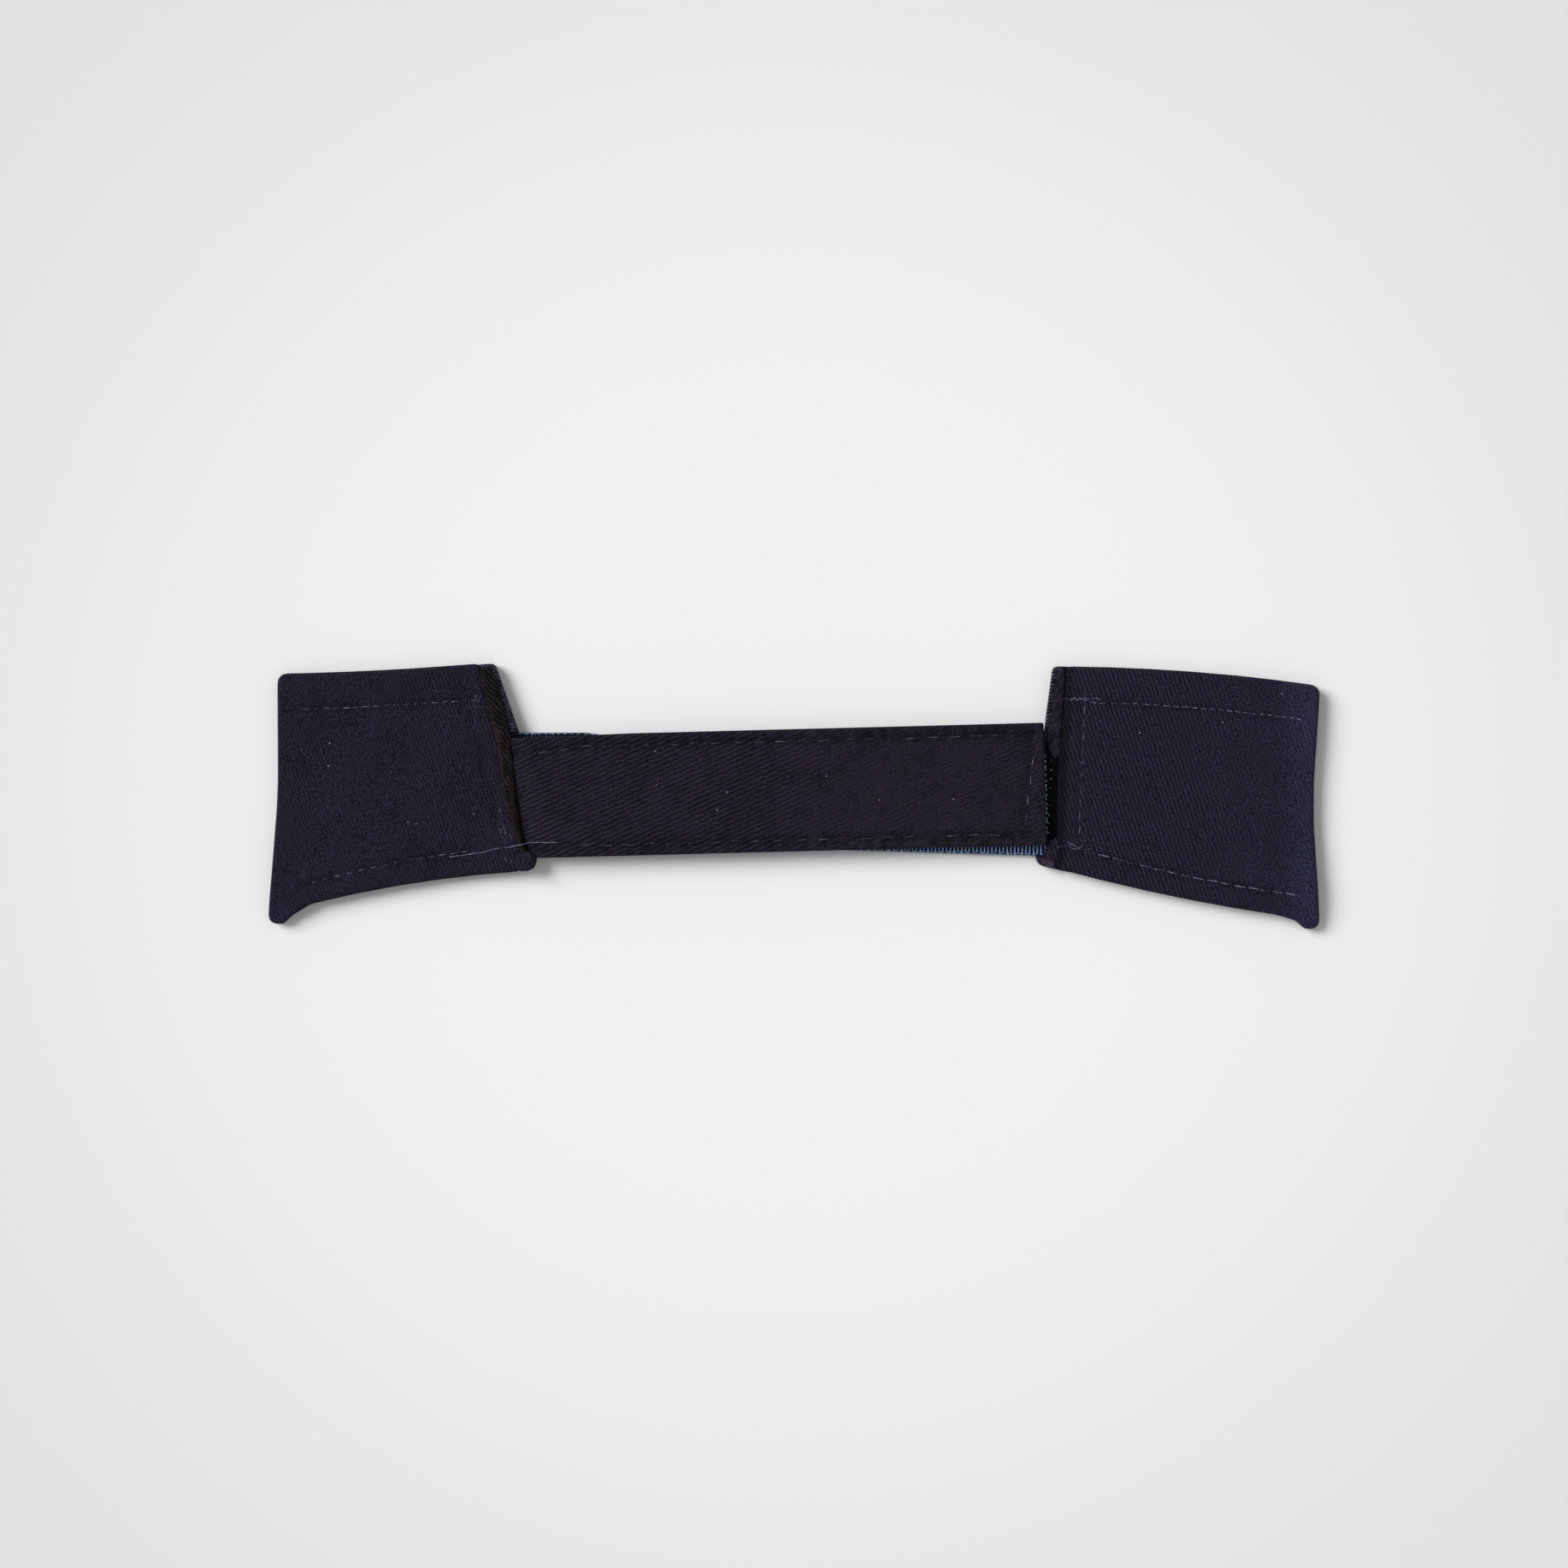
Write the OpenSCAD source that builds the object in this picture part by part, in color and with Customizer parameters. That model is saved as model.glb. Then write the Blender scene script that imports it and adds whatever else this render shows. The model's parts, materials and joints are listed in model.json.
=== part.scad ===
// Adjustable closing band of a fabric eyeshade: two flared twill wings and a
// hook-and-loop strap between them. The band lies flat, face up.
// X runs along the band, Y across it, and Z up from the surface it lies on.
// The origin is under the middle of the band.

/* [Band] */
// Distance along the band between the inner lower corners of the two wings
strap_gap = 89.8; // [75:0.1:120]
// Height of the band's highest edge above its middle
band_top = 23.9; // [22:0.1:28]
// Depth of the band's lowest edge below its middle
band_bottom = 23.9; // [23:0.1:28]

/* [Left wing] */
// Length along the band, from the inner lower corner to the outer edge
left_w = 48.6; // [42:0.1:65]
// How far the inner edge of the back layer leans outward at its top
left_lean = 7.7; // [2:0.1:12]
// How far the front fold sets back from the inner edge at the top
left_fold_top = 2.8; // [1:0.1:4]
// How far the front fold sets back from the inner edge at the bottom
left_fold_bottom = 2.4; // [0.4:0.1:3]
// Drop of the top edge from its inner corner to its outer corner
left_top_drop = 1.8; // [0:0.1:5]
// Height of the inner edge
left_inner_h = 37.4; // [34:0.1:42]
// Height of the lowest corner above the band's lowest edge
left_toe_rise = 0.9; // [0:0.1:3]
// How far the inner edge swells toward the strap at the strap's top edge
left_swell = 1.8; // [0:0.1:2.5]
// How far the outer top corner sets in from the toe
left_outer_lean = 1.8; // [-1:0.1:4]
// How far the outer edge draws in at its waist
left_waist = 1.9; // [0:0.1:4]
// Bow of the top edge, upward
left_top_bow = -0.3; // [-1.5:0.1:1.5]
// Bow of the bottom edge, upward
left_bottom_bow = 1.3; // [-2:0.1:3]

/* [Right wing] */
// Length along the band, from the inner lower corner to the outer edge
right_w = 51.2; // [42:0.1:65]
// How far the inner edge of the back layer leans outward at its top
right_lean = 3.1; // [0:0.1:12]
// How far the front fold sets back from the inner edge at the top
right_fold_top = 2.3; // [1:0.1:4]
// How far the front fold sets back from the inner edge at the bottom
right_fold_bottom = 3.7; // [1:0.1:5]
// Drop of the inner top corner below the band's highest edge
right_top_set = 0.5; // [0:0.1:3]
// Drop of the top edge from its inner corner to its outer corner
right_top_drop = 3.5; // [0:0.1:6]
// Height of the inner edge
right_inner_h = 36.4; // [34:0.1:42]
// How far the inner edge swells toward the strap at the strap's top edge
right_swell = 0.6; // [0:0.1:2.5]
// How far the outer top corner sets in from the toe
right_outer_lean = 0; // [-1:0.1:4]
// How far the outer edge draws in at its waist
right_waist = 1.4; // [0:0.1:4]
// Bow of the top edge, upward
right_top_bow = 0.8; // [-1.5:0.1:1.5]
// Bow of the bottom edge, upward
right_bottom_bow = -0.9; // [-2:0.1:3]

/* [Wing cloth] */
// Thickness of one twill panel
panel_t = 0.6; // [0.4:0.05:1]
// Width of the turned edge round a front panel
rim_w = 0.8; // [0.5:0.1:1]
// Depth of the turned inner edge that holds the strap
hem_w = 6; // [5:0.1:9]
// Radius of the outer top corners
top_r = 1.7; // [1.2:0.1:4]
// Radius of the inner corners
inner_r = 1.5; // [1.2:0.1:2]
// Radius of the toe at each outer lower corner
toe_r = 1.4; // [1.2:0.1:2.5]

/* [Over strap] */
// Width of the twill-covered strap
over_w = 22; // [20:0.1:25]
// How far its free end reaches over the right wing's back strip
over_reach = 1.6; // [0:0.1:2.5]
// Height of its middle above the band's middle, at the left wing
over_y = -0.1; // [-2:0.1:2]
// Tilt of the strap in the plane of the band, degrees
over_tilt = 1.47; // [0:0.01:2]
// Thickness of the twill cover
cover_t = 0.6; // [0.4:0.05:1]
// Width of cover that is turned under at each long edge
turn_w = 1; // [0.6:0.1:2]
// Thickness of the backing inside the cover
backing_t = 0.5; // [0.3:0.05:1]
// Thickness of the loop tape's woven base
loop_base_t = 0.3; // [0.2:0.05:0.6]
// Height of the loop pile
loop_t = 0.3; // [0.2:0.05:0.8]
// Length over which the strap climbs out of the left wing
ramp_l = 6; // [5:0.1:9]

/* [Under strap] */
// How much narrower the webbing is than the over strap
under_less = 3; // [1:0.1:6]
// Height of its middle above the band's middle, at the right wing
under_y = -0.9; // [-2:0.1:1]
// Tilt of the webbing in the plane of the band, degrees
under_tilt = -1.55; // [-2:0.01:0]
// Thickness of the webbing
webbing_t = 0.8; // [0.5:0.05:1.2]
// Thickness of the hook tape's woven base
hook_base_t = 0.3; // [0.2:0.05:0.6]
// Height of the hooks
hook_t = 0.3; // [0.2:0.05:0.8]
// Width of bare tape at each edge of the hook and loop tapes
selvedge_w = 1.6; // [1.2:0.1:2.2]

/* [Stitching] */
// Distance from one stitch to the next on the wings
wing_pitch = 2.5; // [2:0.1:4]
// Distance from one stitch to the next on the straps
strap_pitch = 3.8; // [2.5:0.1:5]
// Length of thread that shows in one stitch
stitch_l = 1.9; // [1.2:0.1:1.9]
// Width of the thread
thread_w = 0.35; // [0.2:0.05:0.5]
// Height of the thread over the cloth
thread_t = 0.15; // [0.1:0.05:0.2]
// Distance of a wing's stitching from its top edge
top_margin = 6.5; // [4:0.1:9]
// Distance of a wing's stitching from its bottom edge
bottom_margin = 4.4; // [3:0.1:9]
// Distance of the seam stitching from the front fold
seam_margin = 4.2; // [2:0.1:4.5]
// Distance of the strap's stitching from its long edges
strap_margin = 2.1; // [1.8:0.1:3]

/* [Fits] */
// Running gap between the two straps, and between hook and loop
slide_gap = 0.1; // [0.05:0.01:0.3]
// Gap between bodies that fold against each other
fold_gap = 0.1; // [0.05:0.01:0.3]

/* [Hidden] */

TWILL = "#201e2c";
LINING = "#262434";
WEBBING = "#3c4a63";
TAPE = "#1b1c26";
THREAD = "#34384f";
STIFFENER = "#c9c6bd";

// Levels, from the surface up. The webbing and its hook tape fill the core of
// a wing, so the stiffener is as thick as they are.
core_z = panel_t;
webbing_z = core_z + slide_gap;
hook_base_z = webbing_z + webbing_t;
hook_z = hook_base_z + hook_base_t;
front_z = hook_z + hook_t;
wing_t = front_z + panel_t;
loop_z = front_z + slide_gap;
loop_base_z = loop_z + loop_t;
backing_z = loop_base_z + loop_base_t;
cover_z = backing_z + backing_t;
over_t = cover_z + cover_t;
over_stack = over_t - backing_z;   // backing and cover together
seat_z = front_z - over_stack;     // where the strap's sewn-in end lies
climb = over_t - front_z;          // from its seat in the wing to its run

// Places along the band
band_l = left_w + strap_gap + right_w;
left_x = left_w - band_l / 2;
right_x = left_x + strap_gap;
far = band_l;                      // reaches past everything

// Sewn-in ends stop this far short of the line that the wing folds on
tail_stop = hem_w - 2 * rim_w / 3;
ramp_start = 0.3;                  // the strap starts to climb here, off the front fold
tape_set = turn_w;                 // the tapes stop this far inside what they are sewn to
toe_lift = 1.5;                    // the front panel ends this far above its toe
toe_blend = 2;                     // radius where the toe runs into the bottom edge
waist_share = 0.5;                 // height of the waist, as a share of the outer edge
edge_steps = 6;                    // straight steps in a bowed edge
arc_step = 18;                     // degrees in one step of a rounded corner
waist_r = 60;                      // radius at the outer edge's waist
swell_r = 8;                       // radius where the inner edge swells
strap_r = 0.8;                     // corner radius of a strap's free end

// Each wing as seen from its inner lower corner, with x outward:
// [length, lean, fold top x, fold bottom x, inner top y, outer top y,
//  inner bottom y, outer bottom y, swell, outer lean, waist, top bow, bottom bow]
left_wing = [
    left_w, left_lean, left_lean + left_fold_top, left_fold_bottom,
    band_top, band_top - left_top_drop,
    band_top - left_inner_h, left_toe_rise - band_bottom,
    left_swell, left_outer_lean, left_waist, left_top_bow, left_bottom_bow,
];
right_top = band_top - right_top_set;
right_wing = [
    right_w, right_lean, right_lean + right_fold_top, right_fold_bottom,
    right_top, right_top - right_top_drop,
    right_top - right_inner_h, -band_bottom,
    right_swell, right_outer_lean, right_waist, right_top_bow, right_bottom_bow,
];

function fold_top(wing) = [wing[2], wing[4]];
function fold_bottom(wing) = [wing[3], wing[6]];
function outer_top(wing) = [wing[0] - wing[9], wing[5]];
function outer_bottom(wing) = [wing[0], wing[7] + toe_lift];
function fold_lean(wing) =
    let (rise = fold_top(wing) - fold_bottom(wing)) atan2(rise.x, rise.y);
function fold_l(wing) = norm(fold_top(wing) - fold_bottom(wing));

// How far outside the front fold a point lies
function off_fold(wing, p) =
    let (d = [p.x, p.y] - fold_bottom(wing), a = fold_lean(wing))
    d.x * cos(a) - d.y * sin(a);

// Where a line at distance d inside the left fold crosses height y, measured
// along a strap that starts at origin and is tilted
function crossing(origin, tilt, d, y) =
    let (
        a = fold_lean(left_wing),
        foot = fold_bottom(left_wing),
        p = [left_x - foot.x, foot.y] + d * [cos(a), sin(a)] - origin,
        q = [p.x * cos(tilt) + p.y * sin(tilt), p.y * cos(tilt) - p.x * sin(tilt)]
    )
    q.x - (y - q.y) * tan(a - tilt);

// Unit vector from a to b
function toward(a, b) = (b - a) / norm(b - a);

function direction(v) = atan2(v.y, v.x);

// The corner p, between a and b, rounded to radius r
function fillet(a, p, b, r) =
    let (
        u = toward(p, a),
        v = toward(p, b),
        half = acos(u * v) / 2,
        middle = p + toward([0, 0], u + v) * r / sin(half),
        start = direction(p + u * r / tan(half) - middle),
        turn = (180 - 2 * half) * sign(u.y * v.x - u.x * v.y),
        steps = ceil(abs(turn) / arc_step)
    )
    [for (i = [0:steps]) let (at = start + turn * i / steps) middle + r * [cos(at), sin(at)]];

// An outline from corners, each [x, y, radius]
function rounded(corners) =
    let (n = len(corners))
    [for (i = [0:n - 1])
        let (p = corners[i], a = corners[(i + n - 1) % n], b = corners[(i + 1) % n])
        each p[2] > 0 ? fillet([a.x, a.y], [p.x, p.y], [b.x, b.y], p[2]) : [[p.x, p.y]]];

// A clockwise outline drawn in by d
function inset(points, d) =
    let (n = len(points))
    [for (i = [0:n - 1])
        let (
            p = points[i],
            u = toward(points[(i + n - 1) % n], p),
            v = toward(p, points[(i + 1) % n]),
            side = [u.y + v.y, -u.x - v.x]
        )
        p + side * d / (1 + u * v)];

// A point at share t of a shallow arch from a to b
function arch(a, b, bow, t) = a + (b - a) * t + [0, 4 * bow * t * (1 - t)];

function arched(a, b, bow) =
    [for (i = [1:edge_steps - 1]) let (p = arch(a, b, bow, i / edge_steps)) [p.x, p.y, 0]];

// Corners round the outside of a wing, from its inner top to its inner bottom,
// with the given corners at its outer lower end
function outer_corners(wing, toe) =
    let (top = outer_top(wing), bottom = outer_bottom(wing), drop = bottom.y - top.y)
    concat(
        arched(fold_top(wing), top, wing[11]),
        [[top.x, top.y, top_r]],
        [[wing[0] - wing[10], top.y + drop * waist_share, waist_r]],
        toe,
        arched(bottom, fold_bottom(wing), wing[12])
    );

function front_outline(wing) =
    let (top = fold_top(wing), bottom = fold_bottom(wing))
    rounded(concat(
        [[top.x, top.y, inner_r / 2]],
        outer_corners(wing, [[outer_bottom(wing).x, outer_bottom(wing).y, toe_r]]),
        [[bottom.x, bottom.y, inner_r]]
    ));

// The back layer stands out past the front fold, as a strip along the seam,
// and past the front's outer lower corner, as a rounded toe
function back_outline(wing) =
    let (
        toe_y = wing[7],
        toe_x = wing[0] - 2 * toe_r,
        bottom_y = wing[6] + inner_r / 2,
        swell_y = over_y + over_w / 2,
        swell_x = wing[1] * (swell_y - bottom_y) / (wing[4] - bottom_y) - wing[8]
    )
    rounded(concat(
        [[wing[1], wing[4], inner_r / 2]],
        outer_corners(wing, [
            [wing[0], toe_y, toe_r], [toe_x, toe_y, toe_r / 2],
            [toe_x - toe_lift, toe_y + toe_lift, toe_blend],
        ]),
        [[0, bottom_y, inner_r]],
        [[swell_x, swell_y, swell_r]]
    ));

// Stitches along an arch from a to b, each [x, y, direction]
function row(a, b, pitch, bow = 0) =
    let (n = round(norm(b - a) / pitch))
    [for (i = [0:n - 1])
        let (
            start = arch(a, b, bow, i / n),
            end = arch(a, b, bow, (i + 1) / n),
            middle = (start + end) / 2
        )
        [middle.x, middle.y, direction(end - start)]];

// The long rows of a wing start near its front fold, and cross the hem
function top_row(wing) =
    row(fold_top(wing) + [rim_w, -top_margin], outer_top(wing) - [rim_w, top_margin],
        wing_pitch, wing[11]);
function bottom_row(wing) =
    row(fold_bottom(wing) + [rim_w, bottom_margin],
        outer_bottom(wing) + [-2 * toe_r, bottom_margin], wing_pitch, wing[12]);
function on_panel(wing, stitches) =
    [for (s = stitches) if (off_fold(wing, s) > hem_w + stitch_l / 2 + fold_gap) s];
function on_hem(wing, stitches) =
    [for (s = stitches)
        let (off = off_fold(wing, s))
        if (off > stitch_l / 2 && off < seam_margin - stitch_l / 2 - thread_w) s];

module in_left() translate([left_x, 0, 0]) mirror([1, 0, 0]) children();
module in_right() translate([right_x, 0, 0]) children();

// x runs outward from the front fold, and y along it
module at_fold(wing) translate(fold_bottom(wing)) rotate(-fold_lean(wing)) children();

module slab(points, z, t) translate([0, 0, z]) linear_extrude(t) polygon(points);

// Everything from a to b outward of the front fold
module between(wing, a, b) at_fold(wing) translate([a, -far, -far]) cube([b - a, 2 * far, 2 * far]);

// Separate lengths of thread lying on the cloth at height z
module stitches(places, z)
    for (s = places)
        translate([s.x, s.y, z + thread_t / 2])
            rotate(s[2]) cube([stitch_l, thread_w, thread_t], center = true);

// --- wings ---

module front_panel(wing)
    color(TWILL) intersection() {
        difference() {
            slab(front_outline(wing), core_z, wing_t - core_z);
            slab(inset(front_outline(wing), rim_w), 0, front_z);
        }
        between(wing, hem_w + fold_gap / 2, far);
    }

module interlining(wing)
    color(STIFFENER) intersection() {
        slab(inset(front_outline(wing), rim_w), core_z, front_z - core_z);
        between(wing, hem_w + fold_gap / 2, far);
    }

module back_panel(wing)
    color(LINING) intersection() {
        slab(back_outline(wing), 0, panel_t);
        between(wing, hem_w + fold_gap / 2, far);
    }

module front_hem(wing)
    color(TWILL) intersection() {
        slab(front_outline(wing), core_z, wing_t - core_z);
        between(wing, -far, hem_w - fold_gap / 2);
    }

module back_strip(wing)
    color(LINING) intersection() {
        slab(back_outline(wing), 0, panel_t);
        between(wing, -far, hem_w - fold_gap / 2);
    }

module seam_stitch(wing)
    color(THREAD) {
        at_fold(wing)
            stitches(row([seam_margin, bottom_margin], [seam_margin, fold_l(wing) - top_margin],
                         wing_pitch), wing_t);
        stitches(on_hem(wing, concat(top_row(wing), bottom_row(wing))), wing_t);
    }

module left_front_panel() in_left() front_panel(left_wing);
module left_interlining() in_left() interlining(left_wing);
module left_back_panel() in_left() back_panel(left_wing);
module left_top_stitch()
    color(THREAD) in_left() stitches(on_panel(left_wing, top_row(left_wing)), wing_t);
module left_bottom_stitch()
    color(THREAD) in_left() stitches(on_panel(left_wing, bottom_row(left_wing)), wing_t);

module left_front_hem()
    difference() {
        in_left() front_hem(left_wing);
        intersection() {
            over_length(over_w, seat_z, over_stack);
            in_left() between(left_wing, -far, tail_stop);
        }
    }
module left_back_strip() in_left() back_strip(left_wing);
module left_seam_stitch() in_left() seam_stitch(left_wing);

module right_front_panel() in_right() front_panel(right_wing);
module right_interlining() in_right() interlining(right_wing);
module right_back_panel() in_right() back_panel(right_wing);
module right_top_stitch()
    color(THREAD) in_right() stitches(on_panel(right_wing, top_row(right_wing)), wing_t);
module right_bottom_stitch()
    color(THREAD) in_right() stitches(on_panel(right_wing, bottom_row(right_wing)), wing_t);

module right_front_hem()
    difference() {
        in_right() front_hem(right_wing);
        intersection() {
            under_length(under_w, core_z, front_z - core_z);
            in_right() between(right_wing, -far, tail_stop);
        }
    }
module right_back_strip() in_right() back_strip(right_wing);
module right_seam_stitch() in_right() seam_stitch(right_wing);

// --- over strap: starts inside the left wing and runs to the right ---

over_l = strap_gap + over_reach;
over_start = hem_w + left_fold_top + left_lean;

module along_over() translate([left_x, over_y, 0]) rotate(over_tilt) children();

// The place along the over strap, at height y, that is d off the left fold
function over_x(d, y) = crossing([left_x, over_y], over_tilt, d, y);

// A length of the over strap, w wide, that stops short of its free end by set
module over_length(w, z, t, set = 0)
    along_over()
        slab(rounded([
            [-over_start, w / 2, 0], [over_l - set, w / 2, strap_r],
            [over_l - set, -w / 2, strap_r], [-over_start, -w / 2, 0],
        ]), z, t);

// What lies past the top of the ramp, by a further d
module past_ramp(d) in_left() between(left_wing, -far, -ramp_l - fold_gap / 2 - d);

// The way out of the wing: level in the seam, then up to the strap's run
module ramp(z, t)
    in_left() at_fold(left_wing)
        translate([0, far / 2, 0]) rotate([90, 0, 0]) linear_extrude(far)
            polygon([
                [tail_stop, z], [tail_stop, z + t], [-ramp_start, z + t], [-ramp_l, z + t + climb],
                [-ramp_l, z + climb], [-ramp_start, z],
            ]);

over_inner_w = over_w - 2 * turn_w;
loop_field_w = over_inner_w - 2 * selvedge_w;

module over_cover_tail()
    color(TWILL) difference() {
        intersection() {
            over_length(over_w, 0, over_t);
            ramp(seat_z, over_stack);
        }
        intersection() {
            over_length(over_inner_w, 0, over_t);
            ramp(seat_z, backing_t);
        }
    }

module over_backing_tail()
    color(LINING) intersection() {
        over_length(over_inner_w, 0, over_t);
        ramp(seat_z, backing_t);
    }

module over_cover()
    color(TWILL) intersection() {
        difference() {
            over_length(over_w, backing_z, over_stack);
            over_length(over_inner_w, 0, cover_z, turn_w);
        }
        past_ramp(0);
    }

module over_backing()
    color(LINING) intersection() {
        over_length(over_inner_w, backing_z, backing_t, turn_w);
        past_ramp(0);
    }

module loop_tape()
    color(TAPE) union() {
        intersection() {
            over_length(over_inner_w, loop_base_z, loop_base_t, tape_set);
            past_ramp(tape_set);
        }
        intersection() {
            over_length(loop_field_w, loop_z, loop_t, 2 * tape_set + selvedge_w);
            past_ramp(tape_set + selvedge_w);
        }
    }

// A needle row on top, and the bobbin row below it on the tape's selvedge
module over_row(side)
    color(THREAD) along_over() {
        y = side * (over_w / 2 - strap_margin);
        places = row([over_x(ramp_l + thread_w, y), y], [over_l - strap_margin, y], strap_pitch);
        stitches(places, over_t);
        stitches(places, loop_base_z - thread_t);
    }

module over_top_stitch() over_row(1);
module over_bottom_stitch() over_row(-1);

// The row across the free end was sewn a little askew
end_skew = 2;

module over_end_stitch()
    color(THREAD) along_over()
        stitches(row([over_l - strap_margin, over_w / 2 - strap_margin],
                     [over_l - strap_margin - end_skew, strap_margin - over_w / 2], strap_pitch),
                 over_t);

// --- under strap: starts inside the right wing and runs to the left ---

under_w = over_w - under_less;
hook_w = under_w - turn_w;
hook_field_w = hook_w - 2 * selvedge_w;

module along_under() translate([right_x, under_y, 0]) rotate(under_tilt) children();

// The place along the under strap, at height y, that is d off the left fold
function under_x(d, y) = crossing([right_x, under_y], under_tilt, d, y);

// A length of the under strap, w wide; its ends are cut by what it meets
module under_length(w, z, t) along_under() translate([-far, -w / 2, z]) cube([2 * far, w, t]);

// Distance off the left fold at which the ramp's underside clears height z
function ramp_clears(z) =
    ramp_start + (ramp_l - ramp_start) * (z + 2 * slide_gap - seat_z) / climb;

// The under strap from distance d off the left fold to its sewn-in end
module under_run(w, z, t, d)
    intersection() {
        under_length(w, z, t);
        in_left() between(left_wing, -2 * far, -d);
        in_right() between(right_wing, -2 * far, tail_stop);
    }

webbing_start = ramp_clears(hook_base_z);
hook_start = ramp_clears(front_z);

module under_webbing()
    color(WEBBING) under_run(under_w, webbing_z, webbing_t, webbing_start);

module hook_tape()
    color(TAPE) union() {
        under_run(hook_w, hook_base_z, hook_base_t, hook_start);
        under_run(hook_field_w, hook_z, hook_t, hook_start + 2 * selvedge_w);
    }

// The tape's rows run on its bare edges: along both sides, and across its free end
hook_row_y = (hook_w - selvedge_w) / 2;
hook_row_d = hook_start + selvedge_w / 2;

module hook_row(side)
    color(THREAD) along_under() {
        y = side * hook_row_y;
        stitches(row([under_x(hook_row_d + stitch_l / 2, y), y], [-tape_set, y], strap_pitch), hook_z);
    }

module hook_top_stitch() hook_row(1);
module hook_bottom_stitch() hook_row(-1);

module hook_end_stitch()
    color(THREAD) along_under() {
        y = hook_row_y - stitch_l / 2;
        stitches(row([under_x(hook_row_d, -y), -y], [under_x(hook_row_d, y), y], strap_pitch), hook_z);
    }

left_front_panel();
left_interlining();
left_back_panel();
left_top_stitch();
left_bottom_stitch();
left_front_hem();
left_back_strip();
over_cover_tail();
over_backing_tail();
left_seam_stitch();
over_cover();
over_backing();
loop_tape();
over_top_stitch();
over_bottom_stitch();
over_end_stitch();
under_webbing();
hook_tape();
hook_top_stitch();
hook_bottom_stitch();
hook_end_stitch();
right_front_hem();
right_back_strip();
right_seam_stitch();
right_front_panel();
right_interlining();
right_back_panel();
right_top_stitch();
right_bottom_stitch();
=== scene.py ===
import json
import math
import random

import bpy
import numpy as np
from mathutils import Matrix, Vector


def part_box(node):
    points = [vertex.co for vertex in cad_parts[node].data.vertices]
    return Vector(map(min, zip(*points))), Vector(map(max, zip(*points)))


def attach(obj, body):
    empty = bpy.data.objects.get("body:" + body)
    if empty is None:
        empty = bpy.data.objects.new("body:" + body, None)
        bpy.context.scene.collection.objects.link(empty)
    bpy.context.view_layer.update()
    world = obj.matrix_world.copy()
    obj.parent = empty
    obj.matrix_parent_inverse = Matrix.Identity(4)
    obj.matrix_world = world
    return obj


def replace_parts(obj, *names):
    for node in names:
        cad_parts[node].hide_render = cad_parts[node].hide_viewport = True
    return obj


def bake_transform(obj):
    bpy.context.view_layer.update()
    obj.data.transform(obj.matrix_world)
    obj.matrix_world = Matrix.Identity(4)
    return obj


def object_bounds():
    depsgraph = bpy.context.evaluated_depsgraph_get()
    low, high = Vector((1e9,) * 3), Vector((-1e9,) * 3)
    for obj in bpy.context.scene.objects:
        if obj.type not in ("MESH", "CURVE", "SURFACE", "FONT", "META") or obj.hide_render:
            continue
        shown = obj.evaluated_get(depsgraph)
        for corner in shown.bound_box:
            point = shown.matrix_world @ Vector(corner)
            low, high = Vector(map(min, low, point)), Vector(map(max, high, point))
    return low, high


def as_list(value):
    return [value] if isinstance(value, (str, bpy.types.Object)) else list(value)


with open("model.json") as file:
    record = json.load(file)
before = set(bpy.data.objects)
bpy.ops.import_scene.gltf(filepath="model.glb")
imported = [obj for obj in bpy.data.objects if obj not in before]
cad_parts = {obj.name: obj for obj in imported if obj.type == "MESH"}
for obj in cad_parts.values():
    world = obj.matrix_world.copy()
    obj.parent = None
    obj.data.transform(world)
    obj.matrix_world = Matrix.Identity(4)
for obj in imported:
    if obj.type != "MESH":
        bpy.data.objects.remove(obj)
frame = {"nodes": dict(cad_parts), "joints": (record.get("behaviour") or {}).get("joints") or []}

# The closing band of a fabric eyeshade: two flat twill wings and the
# hook-and-loop strap between them, lying face up on a pale table.
# Lengths are in millimetres until a mesh is made.

cad_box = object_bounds()
MM = 0.001
CHANCE = random.Random(7)

# --- levels and widths, as the part's source gives them ---


def level(node, side):
    """The height of a CAD node's underside (0) or top (1)."""
    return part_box(node)[side].z / MM


WING_TOP, BACK_TOP = level("left_front_panel", 1), level("left_back_panel", 1)
COVER_TOP, COVER_UNDER = level("over_cover", 1), level("over_cover", 0)
BACKING_TOP, LOOP_UNDER = level("over_backing", 1), level("loop_tape", 0)
SEAT = level("over_cover_tail", 0)
HOOK_UNDER, HOOK_TOP = level("hook_tape", 0), level("hook_tape", 1)
WEB_UNDER, WEB_TOP = level("under_webbing", 0), level("under_webbing", 1)

CLOTH = 0.5          # thickness of a twill shell
RIM = 0.8            # cloth turned under round a wing's front
HEM = 6.0            # from the front fold to the line that a wing folds on
TAIL_STOP = 5.47     # a strap's sewn-in end reaches this far past the front fold
RAMP_START = 0.3     # the over strap climbs from here, off the left fold,
RAMP_END = 6.0       # to here
TURNED = 1.0         # cover turned under along the strap
BARE = 1.6           # bare tape beside hooks and loops
THREAD = 0.19        # thickness of the sewing thread


class Strap:
    """A strap's own frame: s runs to the right along its middle, and t across it."""

    def __init__(self, start, tilt, width):
        self.start, self.width = np.array(start), width
        a = math.radians(tilt)
        self.along = np.array([math.cos(a), math.sin(a)])
        self.across = np.array([-math.sin(a), math.cos(a)])

    def at(self, s, t):
        return self.start + np.multiply.outer(s, self.along) + np.multiply.outer(t, self.across)

    def local(self, p):
        q = np.asarray(p)[..., :2] - self.start
        return q @ self.along, q @ self.across

    def meets(self, t, fold, off):
        """How far along, at t across, the line at off from a fold lies."""
        return float((off - fold.off(self.at(0.0, t))) / (self.along @ fold.out))


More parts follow.
